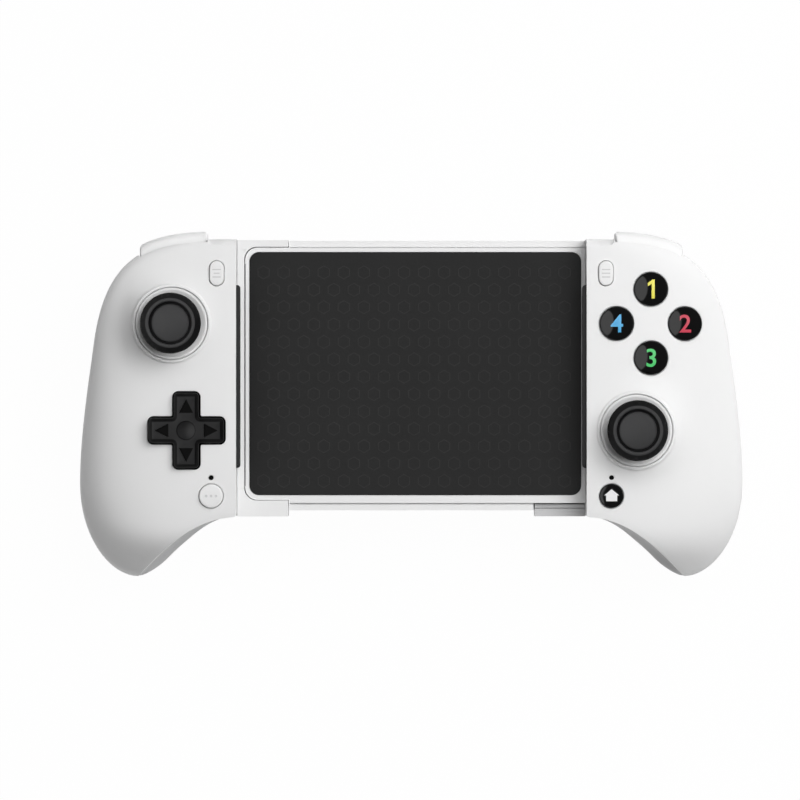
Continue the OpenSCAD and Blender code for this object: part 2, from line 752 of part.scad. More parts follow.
bumper_profile = [
  [-bumper_deep, 0], [-bumper_deep, -bumper_h], [bumper_proud - 1.2, -bumper_h],
  [bumper_proud - 0.35, -bumper_h + 0.9], [bumper_proud, -bumper_h * 0.55], [bumper_proud - 0.3, -1.6],
  [bumper_proud - 1.1, -0.5], [bumper_proud - 2.2, 0]
];
function bumper_ring(t) =
  let (s = station(shoulder, t))
  let (top = height(part_line, s[0][1]) - bumper_seat)
  [for (q = bumper_profile) [s[0][0] - q[0] * s[1][0], s[0][1] - q[0] * s[1][1], top + q[1]]];
post_place = [bumper_in + 2.4, wall_top - 5.4];
post_r = 1;
module bumper() {
  difference() {
    bar([for (k = [0:12]) bumper_ring(lerp(bumper_t0, bumper_t1, k / 12))]);
    rod_z(post_place, hinge_z - 5, face_top_h, post_r + rocker_gap);
  }
}

trigger_in = bumper_in + 1.8;
trigger_out = bumper_out - 1.5;
hub_r = 2.6;
trigger_top = hinge_z + hub_r;
trigger_tip = 1;
trigger_proud = 1.6;
finger = [
  [hinge_y + 12, trigger_top],
  [hinge_y + 14.5, hinge_z - 7],
  [hinge_y + 6.5, hinge_z - 15],
  [hinge_y + 10.4, trigger_tip]
];
palm = [
  [hinge_y + 6, trigger_tip - 0.4],
  [hinge_y + 1, hinge_z - 17],
  [hinge_y - 2, hinge_z - 11],
  [hinge_y - hub_r, hinge_z - 1]
];
module trigger_side() {
  curve = [for (k = [0:12]) bez(finger, k / 12)];
  inside = [for (k = [0:8]) bez(palm, k / 8)];
  hub = [for (a = [180:-15:90]) [hinge_y, hinge_z] + hub_r * [cos(a), sin(a)]];
  polygon(concat(curve, inside, hub));
}
module trigger_plan() {
  front = [for (k = [0:12]) let (s = station(shoulder, lerp(bumper_t0, bumper_t1, k / 12)))
    s[0] - trigger_proud * s[1]];
  intersection() {
    polygon(concat(front, [[bumper_out, notch_y - 5], [bumper_in, notch_y - 5]]));
    rect(trigger_in, notch_y - 4, trigger_out, wall_top + 5);
  }
}
spring_in = trigger_in + 7;
spring_l = 4.1;
spring_r = 2.3;
module trigger() {
  difference() {
    intersection() {
      translate([trigger_in, 0, 0]) rotate([90, 0, 90])
        linear_extrude(trigger_out - trigger_in) trigger_side();
      linear_extrude(face_top_h) trigger_plan();
    }
    rod_x(trigger_in - 1, trigger_out + 1, hinge_y, hinge_z, pin_r + rocker_gap);
    box([spring_in, hinge_y - hub_r - 1, hinge_z - spring_r - 0.9],
      [spring_in + spring_l, hinge_y + 6, hinge_z + 5]);
  }
}
ear_t = 1.4;
ear_in = trigger_in - 0.3 - ear_t;
ear_out = trigger_out + 0.3;
module trigger_pin() {
  rod_x(ear_in, ear_out + ear_t, hinge_y, hinge_z, pin_r);
}
spring_wire = 0.4;
module trigger_spring() {
  difference() {
    rod_x(spring_in + 0.3, spring_in + spring_l - 0.3, hinge_y, hinge_z, spring_r);
    rod_x(spring_in, spring_in + spring_l, hinge_y, hinge_z, pin_r + 0.15);
  }
  rod_y(spring_in + 0.8, crossbar_y + 2.3, hinge_y - pin_r - 0.5, hinge_z + 1, spring_wire);
  rod_y(spring_in + spring_l - 0.8, hinge_y + pin_r + 0.5, hinge_y + 5, hinge_z + 1.2, spring_wire);
}
module shoulder_frame() {
  difference() {
    union() {
      box([ear_in, crossbar_y, hinge_z - 1.7], [ear_in + ear_t, post_place[1] + 1.4, hinge_z + crossbar_up]);
      box([ear_in, pcb_high + crossbar_gap, hinge_z - 1.7],
        [ear_in + ear_t, post_place[1] + 1.4, bumper_low - 0.3]);
      box([ear_out, crossbar_y, hinge_z - 1.7], [ear_out + ear_t, hinge_y + 2.6, hinge_z + crossbar_up]);
      box([ear_in, crossbar_y, hinge_z - 1.5], [ear_out + ear_t, crossbar_y + 2.2, hinge_z + 2]);
      box([ear_in, post_place[1] - 1.4, trigger_top + 0.3],
        [post_place[0] + 1.4, post_place[1] + 1.4, bumper_low - 0.3]);
      rod_z(post_place, bumper_low - 1, bumper_low + bumper_h - 0.8, post_r);
    }
    rod_x(ear_in - 1, ear_out + ear_t + 1, hinge_y, hinge_z, pin_r + rocker_gap);
  }
}

// Button on the back of a grip
back_w = 7;
back_l = 15;
back_tilt = atan((height(back_line, back_place[1] + 7) - height(back_line, back_place[1] - 7)) / 14);
back_rise = 1.3;
back_flange = 3.2;
module back_slab(grow, z0, z1) {
  intersection() {
    pill(back_place, back_w + 2 * grow, back_l + 2 * grow, -10, pcb_bottom);
    translate([back_place[0], back_place[1], height(back_line, back_place[1])])
      rotate([back_tilt, 0, 0])
        translate([-back_l, -back_l, z0]) cube([2 * back_l, 2 * back_l, z1 - z0]);
  }
}
module back_button() {
  back_slab(0, -back_rise, back_flange);
  back_slab(1.2, back_flange, back_flange + 1.4);
  rod_z(back_place, height(back_line, back_place[1]) + back_flange + 0.5, pcb_bottom - 1.1, 1.5);
}

// Shells
module peg_holes() {
  for (q = peg_places) rod_x(wall_x - 1, wall_x + wall + 1, q[0], q[1], peg_r + peg_gap);
}
module front_bosses() {
  for (p = screw_places) difference() {
    rod_z(p, height(part_line, p[1]) + part_seat, boss_top(p), boss_r);
    rod_z(p, height(part_line, p[1]), boss_top(p) - wall, screw_r + screw_fit);
  }
}
module small_holes() {
  pill(pill_place, pill_w + 2 * button_gap, pill_l + 2 * button_gap, pcb_top, 2 * face_mid_h);
  rod_z(round_place, pcb_top, 2 * face_mid_h, round_r + button_gap);
  rod_z(led_place, pcb_top, 2 * face_mid_h, led_r + led_fit);
}
module front_shell(stick) {
  difference() {
    union() {
      face_cup();
      stick_collar(stick);
    }
    rod_z(stick, pivot_z(stick), 2 * face_mid_h, stick_hole_r);
    small_holes();
    peg_holes();
    children();
  }
  front_bosses();
}
module rear_shell() {
  difference() {
    union() {
      back_cup();
      for (p = screw_places)
        rod_z(p, back_z(p) + wall / 2, height(part_line, p[1]) - part_seat, boss_r);
    }
    for (p = screw_places) {
      rod_z(p, -5, back_z(p) + screw_sink, screw_head_r + 0.25);
      rod_z(p, 0, face_top_h, screw_r + 0.15);
    }
    box([notch_in, notch_y, -5], [notch_out, body_len, face_top_h]);
    pill(back_place, back_w + 2 * button_gap, back_l + 2 * button_gap, -5, pcb_bottom);
    peg_holes();
    children();
  }
}
module usb_mouth() {
  usb_slot(wall_bottom - 6, usb_y + 4.5, usb_gap);
}
module screws() {
  for (p = screw_places) {
    seat = back_z(p) + screw_sink;
    rod_z(p, seat - screw_head_h, seat, screw_head_r);
    rod_z(p, seat, boss_top(p) - 2 * wall, screw_r);
  }
}
module face_cup() {
  cup([for (s = stations(tail_end)) face_row(s, 0)],
    [for (s = stations(tail_end_inside)) face_row(s, wall)]);
}
module back_cup() {
  cup([for (s = stations(tail_end)) back_row(s, 0)],
    [for (s = stations(tail_end_inside)) back_row(s, wall)]);
}
module right_front_shell() {
  color(white) front_shell(low_place) {
    for (turn = face_turns) rod_z(face_place(turn), pcb_top, 2 * face_mid_h, face_button_r + button_gap);
    usb_mouth();
  }
}
module left_front_shell() {
  color(white) left() front_shell(high_place)
    translate([low_place[0], low_place[1], pcb_top]) linear_extrude(2 * face_mid_h) cross_2d(pad_gap);
}
module right_rear_shell() {
  color(pale) rear_shell() usb_mouth();
}
module left_rear_shell() {
  color(pale) left() rear_shell();
}

// Rubber pads that hold the phone's ends
phone_pad_l = 56.3;
phone_pad_mid = 8.75;
phone_pad_z = [mat_h + 2.4, face_mid_h - 2];
phone_pad_r = 1.6;
groove_w = 1;
pad_end_r = 0.9;
module phone_pad() {
  intersection() {
    grooved_pad();
    linear_extrude(2 * face_mid_h) round_rect(wall_x - pad_proud, phone_pad_mid - phone_pad_l / 2,
      wall_x + wall, phone_pad_mid + phone_pad_l / 2, pad_end_r);
  }
}
module grooved_pad() {
  translate([wall_x - pad_proud, 0, 0]) difference() {
    rotate([90, 0, 90]) linear_extrude(pad_proud)
      round_rect(phone_pad_mid - phone_pad_l / 2, phone_pad_z[0], phone_pad_mid + phone_pad_l / 2,
        phone_pad_z[1], phone_pad_r);
    for (k = [1:3]) let (z = lerp(phone_pad_z[0], phone_pad_z[1], k / 4))
      box([-1, phone_pad_mid - phone_pad_l, z - groove_w / 2],
        [pad_proud / 3, phone_pad_mid + phone_pad_l, z + groove_w / 2]);
  }
}

// Bridge
pad_clear = 0.15;
mat_low_y = mat_top_y - mat_len;
mat_left = -wall_x + 3.75;
mat_right = wall_x - pad_proud - pad_clear;
mat_r = 3;
tray_top = mat_h - 0.2;
tray_low = tray_top - tray_t;
tray_left = -wall_x + 2.6;
tray_right = wall_x - 0.05;
tray_r = 3.4;
border = 1.2;
bracket_gap = 0.4;
arm_reach = 15.8;
arm_x = -wall_x + arm_reach;
rail_y = wall_top - 0.2;
shelf_y = mat_low_y - 2.4;
lip_y = wall_bottom + 1.9;
foot_reach = 15.6;
foot_x = wall_x - foot_reach;
foot_seam_y = wall_bottom + 2.3;
back_lap = 1;
step = 0.8;
seam_w = 0.35;
seam_deep = 0.8;
slider_z = tray_low + 2.2;
slider_low_y = mat_low_y + 2.8;
slider_top_y = mat_top_y - 3.6;
slide_hold = 31.2;
slider_right = tray_left + slide_hold + slide_travel;
channel_end = slider_right + 1;
back_t = 1.4;
back_gap = 0.1;
module bridge_tray() {
  color(white) difference() {
    union() {
      translate([0, 0, tray_low]) linear_extrude(tray_t) {
        round_rect(tray_left, mat_low_y - border, tray_right, mat_top_y + border, tray_r);
        rect(arm_x + bracket_gap, shelf_y, tray_right, mat_top_y + border);
      }
      translate([0, 0, tray_low]) linear_extrude(tray_t - step) difference() {
        rect(arm_x + bracket_gap, lip_y, tray_right, rail_y);
        rect(foot_x - bracket_gap, wall_bottom - 1, wall_x, shelf_y + bracket_gap);
      }
      for (q = peg_places) rod_x(tray_right - 1, wall_x + wall, q[0], q[1], peg_r);
    }
    translate([0, 0, mat_h - mat_t]) linear_extrude(mat_t)
      round_rect(mat_left, mat_low_y, mat_right, mat_top_y, mat_r);
    box([tray_left - 1, slider_low_y - slide_gap, slider_z - slide_gap],
      [channel_end, slider_top_y + slide_gap, slider_z + slider_t + slide_gap]);
    for (y = [mat_top_y + border, shelf_y - seam_w])
      box([tray_left, y, tray_top - step - seam_deep], [wall_x, y + seam_w, tray_top + 1]);
  }
}
module bridge_mat() {
  color(dark) translate([0, 0, mat_h - mat_t]) linear_extrude(mat_t)
    round_rect(mat_left + 0.05, mat_low_y + 0.05, mat_right - 0.05, mat_top_y - 0.05, mat_r);
}
module bridge_back_plate() {
  low = tray_low - back_gap - back_t;
  color(pale) {
    translate([0, 0, low]) linear_extrude(back_t) {
      round_rect(tray_left, mat_low_y - border, tray_right, mat_top_y + border, tray_r);
      rect(arm_x + bracket_gap, lip_y, foot_x, rail_y);
      rect(foot_x - back_lap, lip_y, tray_right, rail_y);
    }
    difference() {
      translate([0, 0, low]) linear_extrude(tray_t - step)
        rect(foot_x, wall_bottom, tray_right, shelf_y - bracket_gap);
      box([foot_x - 1, foot_seam_y, low + tray_t - step - seam_deep],
        [wall_x, foot_seam_y + seam_w, low + tray_t]);
    }
  }
}
strip_seams = [mat_low_y + 2, mat_top_y + 0.5];
strip_seam_w = 0.2;
strip_seam_deep = 0.3;
module left_bracket() {
  color(white) difference() {
    union() {
      translate([0, 0, tray_low]) linear_extrude(tray_t) difference() {
        rect(-wall_x + 0.05, wall_bottom, arm_x, wall_top);
        round_rect(tray_left - bracket_gap, mat_low_y - border - bracket_gap,
          wall_x, mat_top_y + border + bracket_gap, tray_r + bracket_gap);
      }
      for (q = peg_places) rod_x(-wall_x - wall, -wall_x + 1, q[0], q[1], peg_r);
    }
    box([-wall_x - wall - 1, slider_low_y - 0.1, slider_z - 0.1],
      [tray_left, slider_top_y + 0.1, slider_z + slider_t + 0.1]);
    for (y = strip_seams)
      box([-wall_x - 1, y, tray_top - strip_seam_deep], [tray_left, y + strip_seam_w, tray_top + 1]);
  }
}
spring_slots = [slider_low_y + 8, slider_top_y - 8];
spring_slot_w = 3.8;
spring_coil_r = 1.5;
spring_left = -10;
flex_w = 10;
flex_y = 5;
flex_left = -18;
flex_t = 0.3;
flex_short = 22.4;
module slider_plate() {
  color(steel) difference() {
    box([-wall_x + 0.05, slider_low_y, slider_z], [slider_right, slider_top_y, slider_z + slider_t]);
    for (y = spring_slots)
      box([spring_left, y - spring_slot_w / 2, slider_z - 1],
        [slider_right + 1, y + spring_slot_w / 2, slider_z + slider_t + 1]);
    box([flex_left, flex_y - 0.4, slider_z - 1],
      [slider_right + 1, flex_y + flex_w + 0.4, slider_z + slider_t + 1]);
  }
}
module return_springs() {
  color(steel) for (y = spring_slots)
    rod_x(spring_left + 0.3, channel_end - 0.2, y, slider_z + slider_t / 2, spring_coil_r);
}
module flex_cable() {
  mid = slider_z + slider_t / 2;
  r = 1.2;
  fold = flex_left + 0.4 + r;
  color("darkorange") translate([0, flex_y + flex_w, 0]) rotate([90, 0, 0]) linear_extrude(flex_w) {
    rect(fold, mid - r, channel_end - 0.2, mid - r + flex_t);
    rect(fold, mid + r - flex_t, slider_right - flex_short, mid + r);
    translate([fold, mid]) intersection() {
      difference() {
        circle(r);
        circle(r - flex_t);
      }
      rect(-r, -r, 0.01, r);
    }
  }
}

// Pieces by name
right_front_shell();
left_front_shell();
right_rear_shell();
left_rear_shell();
color(black) phone_pad();  // right_phone_pad
color(black) left() phone_pad();  // left_phone_pad
color(white) stick_ring(low_place);  // right_stick_ring
color(white) left() stick_ring(high_place);  // left_stick_ring
color(dark) stick_housing(low_place);  // right_stick_housing
color(dark) left() stick_housing(high_place);  // left_stick_housing
color(pale) stick_x_rocker(low_place);  // right_stick_x_rocker
color(pale) left() stick_x_rocker(high_place);  // left_stick_x_rocker
color(pale) stick_y_rocker(low_place);  // right_stick_y_rocker
color(pale) left() stick_y_rocker(high_place);  // left_stick_y_rocker
color(steel) stick_stem(low_place);  // right_stick_stem
color(steel) left() stick_stem(high_place);  // left_stick_stem
color(black) stick_cap(low_place);  // right_stick_cap
color(black) left() stick_cap(high_place);  // left_stick_cap
color(green) pcb();  // right_pcb
color(green) left() pcb();  // left_pcb
color(steel) tact_switches();  // right_tact_switches
color(steel) left() tact_switches();  // left_tact_switches
color(black) face_button(90);  // face_button_top
color(black) face_button(0);  // face_button_right
color(black) face_button(270);  // face_button_bottom
color(black) face_button(180);  // face_button_left
color(pale) face_button_membrane();
color(black) left() dpad();
color(steel) left() dpad_ball();
color(pale) left() dpad_membrane();
color(white) pill_button();  // menu_button
color(white) left() pill_button();  // view_button
color(black) round_button();  // home_button
color(white) left() round_button();  // profile_button
color(black) led_lens();  // right_led_lens
color(black) left() led_lens();  // left_led_lens
color(white) bumper();  // right_bumper
color(white) left() bumper();  // left_bumper
color(white) trigger();  // right_trigger
color(white) left() trigger();  // left_trigger
color(steel) trigger_pin();  // right_trigger_pin
color(steel) left() trigger_pin();  // left_trigger_pin
color(steel) trigger_spring();  // right_trigger_spring
color(steel) left() trigger_spring();  // left_trigger_spring
color(dark) shoulder_frame();  // right_shoulder_frame
color(dark) left() shoulder_frame();  // left_shoulder_frame
color(white) back_button();  // right_back_button
color(white) left() back_button();  // left_back_button
color(steel) screws();  // right_screws
color(steel) left() screws();  // left_screws
color(dark) left() battery();
color(steel) usb_socket();
bridge_tray();
bridge_mat();
bridge_back_plate();
left_bracket();
slider_plate();
return_springs();
flex_cable();
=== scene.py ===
import json
import math

import bmesh
import bpy
import numpy as np
from mathutils import Matrix, Vector
from mathutils.geometry import delaunay_2d_cdt


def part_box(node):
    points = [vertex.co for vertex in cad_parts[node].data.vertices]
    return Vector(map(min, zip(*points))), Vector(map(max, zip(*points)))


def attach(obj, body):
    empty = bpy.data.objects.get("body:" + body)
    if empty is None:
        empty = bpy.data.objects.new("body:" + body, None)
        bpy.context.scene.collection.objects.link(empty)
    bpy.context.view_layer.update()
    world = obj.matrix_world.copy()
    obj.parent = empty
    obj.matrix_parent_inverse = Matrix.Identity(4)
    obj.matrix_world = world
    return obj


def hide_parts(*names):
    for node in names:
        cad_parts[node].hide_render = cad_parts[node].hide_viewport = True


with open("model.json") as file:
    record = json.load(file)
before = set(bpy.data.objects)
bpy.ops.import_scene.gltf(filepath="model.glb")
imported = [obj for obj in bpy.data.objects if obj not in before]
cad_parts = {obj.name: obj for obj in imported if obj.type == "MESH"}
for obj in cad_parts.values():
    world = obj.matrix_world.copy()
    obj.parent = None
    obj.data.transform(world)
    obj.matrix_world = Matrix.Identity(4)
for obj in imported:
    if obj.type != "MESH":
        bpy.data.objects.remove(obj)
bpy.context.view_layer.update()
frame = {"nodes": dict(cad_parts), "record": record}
MM = 0.001

# Plan of a right-hand grip, in millimetres. The left one is its mirror image.
WALL_X, WALL_TOP, WALL_BOTTOM = 53.8, 50.95, -34.45
TIP = (84.7, -53.55)
SHOULDER = np.array([[62, 50.95], [82, 50.95], [94.5, 45], [98.2, 19]])
FLANK = np.array([[98.2, 19], [99.9, 7], [102.9, -10], [102.9, -25]])
TAIL = np.array([[102.9, -25], [102.9, -40], [95, -53.55], [84.7, -53.55]])
HEEL = np.array([[53.8, -34.45], [66, -34.45], [76, -43.75], [84.9, -53.25]])
FACE_LINE = [(50.95, 43), (5, 44), (-34.45, 42.9), (-44.55, 40), (-53.55, 29)]
PART_LINE = [(50.95, 38.5), (30, 33.75), (0, 29), (-34.45, 23.5), (-53.55, 17.5)]
BACK_LINE = [(50.95, 20), (30, 16.75), (5, 13.5), (-25, 1.6), (-36.45, 0), (-46.55, 3.5), (-53.55, 11)]
FACE_ROUND, BACK_ROUND, WALL_ROUND, HEEL_ROUND = 2.4, 2.2, 9.0, 2.4
HEEL_BULGE, BULGE_START, START_OVER, BULGE_OVER, BULGE_HALF = 5.6, 3.9, 1.3, 9.0, 8.0
HEEL_ROUND_FROM = 5
PART_GAP = 0.2
TAIL_END = 0.92

# Places of the controls on a right-hand grip
HIGH, LOW = (73.5, 25.0), (69.0, -7.8)
PILL, ROUND, LED = (59.7, 40.4), (61.4, -27.9), (61.4, -22.3)
FACE_PITCH, FACE_R = 10.55, 5.2
PILL_W, PILL_L, ROUND_R, LED_R = 4.4, 7.6, 3.65, 0.7
BUTTON_GAP = 0.2
STICK_HOLE_R, COLLAR_R, COLLAR_FOOT, COLLAR_DEPTH, RIM_RISE = 11.2, 12.0, 16.0, 6.2, 1.6
COLLAR_CURVE, RIM_BLEND, COLLAR_BLEND = 2.2, 1.0, 0.9
FLARE, FLARE_FOOT, FLARE_MAX, FLARE_CURVE = 0.8, 22.5, 4.0, 3.0
RIM_OVER_PIVOT = 11.0
CAP_R, CAP_UNDER = 9.3, 16.6
PAD_SPAN, PAD_ARM, PAD_GAP, PAD_RISE, PAD_DEEP = 23.1, 7.7, 0.5, 2.6, 5.4
PAD_CORNER, PAD_NOTCH = 1.3, 0.5
SIDES = ("right", "left")


# Curves and heights
def bez(p, t):
    t = np.asarray(t, float)[..., None]
    return (1 - t) ** 3 * p[0] + 3 * t * (1 - t) ** 2 * p[1] + 3 * t * t * (1 - t) * p[2] + t ** 3 * p[3]


def bez_normal(p, t):
    t = np.asarray(t, float)[..., None]
    d = 3 * (1 - t) ** 2 * (p[1] - p[0]) + 6 * t * (1 - t) * (p[2] - p[1]) + 3 * t * t * (p[3] - p[2])
    d = d / np.linalg.norm(d, axis=-1, keepdims=True)
    return np.stack([-d[..., 1], d[..., 0]], -1)


def smooth_line(points, y):
    """Height at y on the smooth line through places and heights."""
    pts = np.array(points[::-1], float)
    ys, zs = pts[:, 0], pts[:, 1]
    slope = np.empty(len(ys))
    slope[0] = (zs[1] - zs[0]) / (ys[1] - ys[0])
    slope[-1] = (zs[-1] - zs[-2]) / (ys[-1] - ys[-2])
    slope[1:-1] = (zs[2:] - zs[:-2]) / (ys[2:] - ys[:-2])
    y = np.clip(np.asarray(y, float), ys[0], ys[-1])
    i = np.clip(np.searchsorted(ys, y) - 1, 0, len(ys) - 2)
    w = ys[i + 1] - ys[i]
    t = (y - ys[i]) / w
    return (zs[i] * (2 * t ** 3 - 3 * t ** 2 + 1) + slope[i] * w * (t ** 3 - 2 * t ** 2 + t)
            + zs[i + 1] * (3 * t ** 2 - 2 * t ** 3) + slope[i + 1] * w * (t ** 3 - t ** 2))


FINE = np.linspace(0, 1, 3000)
OUTER = np.concatenate([bez(SHOULDER, FINE), bez(FLANK, FINE)[1:], bez(TAIL, FINE)[1:]])[::-1]
INNER = bez(HEEL, FINE)[::-1]


def outer_x(y):
    return np.interp(y, OUTER[:, 1], OUTER[:, 0])


def inner_x(y):
    return np.where(np.asarray(y) >= WALL_BOTTOM, WALL_X, np.interp(y, INNER[:, 1], INNER[:, 0]))


def ease(t):
    t = np.clip(t, 0, 1)
    return t * t * (3 - 2 * t)


def face_height(x, y):
    v = np.clip((x - WALL_X) / np.maximum(outer_x(y) - WALL_X, 1e-6), 0, 1)
    top, rim = smooth_line(FACE_LINE, y), smooth_line(PART_LINE, y) + PART_GAP / 2
    return top + (rim - top) * (1 - np.sqrt(np.maximum(0, 1 - v ** FACE_ROUND)))


def face_at(p):
    return float(face_height(np.array([p[0]]), np.array([p[1]]))[0])


def smooth_max(a, b, k):
    h = np.maximum(k - np.abs(a - b), 0) / k
    return np.maximum(a, b) + h * h * k / 4


def rim_at(stick):
    return face_at(stick) + RIM_RISE


def with_collar(z, x, y, stick):
    """The face height with the raised collar round a stick blended in."""
    rim = rim_at(stick)
    r = np.hypot(x - stick[0], y - stick[1])
    s = (r - COLLAR_R) / (COLLAR_FOOT - COLLAR_R)
    side = np.where(s < 0, rim - COLLAR_CURVE * COLLAR_DEPTH * s,
                    rim - COLLAR_DEPTH * (1 - (1 - np.clip(s, 0, 1)) ** COLLAR_CURVE)
                    - np.maximum(s - 1, 0) * COLLAR_DEPTH)
    collar = -smooth_max(-side, np.full_like(side, -rim), RIM_BLEND)
    out = np.clip((FLARE_FOOT - r) / (FLARE_FOOT - COLLAR_R), 0, 1)
    flared = z + FLARE * np.clip(rim - z, 0, FLARE_MAX) * out ** FLARE_CURVE
    return smooth_max(flared, collar, COLLAR_BLEND)


# Mesh helpers
def add_object(name, verts, faces, material, flip=False, sharp=None):
    """Mesh object from millimetre points. flip mirrors it to the left grip; sharp is the crease angle."""
    verts = np.asarray(verts, float) * MM
    if flip:
        verts = verts * [-1, 1, 1]
        faces = [tuple(reversed(f)) for f in faces]
    mesh = bpy.data.meshes.new(name)
    mesh.from_pydata([tuple(v) for v in verts], [], [tuple(int(i) for i in f) for f in faces])
    mesh.materials.append(material)
    mesh.validate()
    mesh.shade_smooth()
    if sharp is not None:
        mesh.set_sharp_from_angle(angle=math.radians(sharp))
    obj = bpy.data.objects.new(name, mesh)
    bpy.context.scene.collection.objects.link(obj)
    return obj


def circle(p, r, n):
    a = np.linspace(0, 2 * math.pi, n, endpoint=False)
    return np.stack([p[0] + r * np.cos(a), p[1] + r * np.sin(a)], -1)


def pill(p, w, length, n=16):
    r = w / 2
    up = [(r * math.cos(a), length / 2 - r + r * math.sin(a)) for a in np.linspace(0, math.pi, n)]
    down = [(-x, -y) for x, y in up]
    return np.array(up + down) + np.array(p)


def cross(p, half, arm, r_out, r_in, n=6):
    """Outline of a plus sign with rounded corners, counter-clockwise."""
    pts = []
    for k in range(4):
        c, s = [(1, 0), (0, 1), (-1, 0), (0, -1)][k]
        quarter = []
        for a in np.linspace(-90, 0, n):
            quarter.append((half - r_out + r_out * math.cos(math.radians(a)),
                            -arm + r_out + r_out * math.sin(math.radians(a))))
        for a in np.linspace(0, 90, n):
            quarter.append((half - r_out + r_out * math.cos(math.radians(a)),
                            arm - r_out + r_out * math.sin(math.radians(a))))
        for a in np.linspace(270, 180, n):
            quarter.append((arm + r_in + r_in * math.cos(math.radians(a)),
                            arm + r_in + r_in * math.sin(math.radians(a))))
        pts += [(c * x - s * y, s * x + c * y) for x, y in quarter]
    return np.array(pts) + np.array(p)


def refine(loop, step):
    """Closed loop with points added so that no side is longer than step."""
    out = []
    for a, b in zip(loop, np.roll(loop, -1, axis=0)):
        n = max(1, int(math.ceil(np.linalg.norm(b - a) / step)))
        out += [a + (b - a) * k / n for k in range(n)]
    return np.array(out)


def inside(loop, pts):
    """Which points lie inside a closed loop."""
    x, y = pts[:, 0], pts[:, 1]
    hit = np.zeros(len(pts), bool)
    for (x0, y0), (x1, y1) in zip(loop, np.roll(loop, -1, axis=0)):
        if y0 == y1:
            continue
        cross_y = (y0 > y) != (y1 > y)
        hit ^= cross_y & (x < (x1 - x0) * (y - y0) / (y1 - y0) + x0)
    return hit


def distance(loop, pts, closed=True):
    """Distance of each point from a line of points."""
    best = np.full(len(pts), 1e9)
    ends = np.roll(loop, -1, axis=0)
    pairs = list(zip(loop, ends)) if closed else list(zip(loop[:-1], loop[1:]))
    for a, b in pairs:
        d = b - a
        t = np.clip(((pts - a) @ d) / max(float(d @ d), 1e-12), 0, 1)
        best = np.minimum(best, np.linalg.norm(pts - a - t[:, None] * d, axis=1))
    return best


def sheet(outline, holes, free):
    """Triangulates the plan between an outline and holes through free points.

    Returns the plan points, the triangles and the point numbers of each loop, outline first.
    """
    loops = [outline] + list(holes)
    pts, edges, starts = [], [], []
    for loop in loops:
        starts.append(len(pts))
        n = len(loop)
        edges += [(starts[-1] + k, starts[-1] + (k + 1) % n) for k in range(n)]
        pts += [tuple(q) for q in loop]
    pts += [tuple(q) for q in free]
    co, _, tris, origin, _, _ = delaunay_2d_cdt([Vector(q) for q in pts], edges, [], 0, 1e-6)
    plan = np.array([tuple(v) for v in co])
    back = {}
    for i, src in enumerate(origin):
        for k in src:
            back[k] = i
    tris = np.array([t for t in tris if len(t) == 3])
    mid = plan[tris].mean(axis=1)
    keep = inside(outline, mid)
    for h in holes:
        keep &= ~inside(h, mid)
    tris = tris[keep]
    a, b, c = plan[tris[:, 0]], plan[tris[:, 1]], plan[tris[:, 2]]
    turned = (b[:, 0] - a[:, 0]) * (c[:, 1] - a[:, 1]) - (b[:, 1] - a[:, 1]) * (c[:, 0] - a[:, 0]) < 0
    tris[turned] = tris[turned][:, ::-1]
    rings = [[back[s + k] for k in range(len(loop))] for s, loop in zip(starts, loops)]
    return plan, [tuple(t) for t in tris], rings


def strip(verts, faces, ring, levels, inner):
    """Hangs rows of quads from a closed ring of points down to each list of heights."""
    top = list(ring)
    n = len(top)
    for heights in levels:
        low = []
        for k in range(n):
            x, y, _ = verts[ring[k]]
            low.append(len(verts))
            verts.append((x, y, heights[k]))
        for k in range(n):
            q = (top[k], low[k], low[(k + 1) % n], top[(k + 1) % n])
            faces.append(q if inner else tuple(reversed(q)))
        top = low


def loft(rings, cap_first=False, cap_last=False):
    """Quads between closed rings with the same number of points."""
    n = len(rings[0])
    verts = [tuple(p) for ring in rings for p in ring]
    faces = []
    for i in range(len(rings) - 1):
        for k in range(n):
            faces.append((i * n + k, i * n + (k + 1) % n, (i + 1) * n + (k + 1) % n, (i + 1) * n + k))
    if cap_first:
        faces.append(tuple(reversed(range(n))))
    if cap_last:
        faces.append(tuple((len(rings) - 1) * n + k for k in range(n)))
    return verts, faces


def lathe(p, profile, n=128, closed=False):
    """Revolves (radius, height) points about a vertical line through p; points on the axis join in one."""
    verts, rows = [], []
    for r, z in profile:
        if r < 1e-6:
            rows.append([len(verts)])
            verts.append((p[0], p[1], z))
        else:
            rows.append([len(verts) + k for k in range(n)])
            verts += [(p[0] + r * math.cos(2 * math.pi * k / n), p[1] + r * math.sin(2 * math.pi * k / n), z)
                      for k in range(n)]
    if closed:
        rows.append(rows[0])
    faces = []
    for a, b in zip(rows[:-1], rows[1:]):
        for k in range(n):
            m = (k + 1) % n
            if len(a) == 1:
                faces.append((a[0], b[m], b[k]))
            elif len(b) == 1:
                faces.append((a[k], a[m], b[0]))
            else:
                faces.append((a[k], a[m], b[m], b[k]))
    return verts, faces


def rounded(points, r, n=5):
    """Open profile with each inner corner rounded by radius r."""
    pts = [np.array(q, float) for q in points]
    out = [pts[0]]
    for a, b, c in zip(pts[:-2], pts[1:-1], pts[2:]):
        u, v = (a - b) / np.linalg.norm(a - b), (c - b) / np.linalg.norm(c - b)
        trim = min(r, 0.45 * np.linalg.norm(a - b), 0.45 * np.linalg.norm(c - b))
        p0, p1 = b + u * trim, b + v * trim
        for t in np.linspace(0, 1, n):
            out.append((1 - t) ** 2 * p0 + 2 * t * (1 - t) * b + t * t * p1)
    out.append(pts[-1])
    return [tuple(q) for q in out]


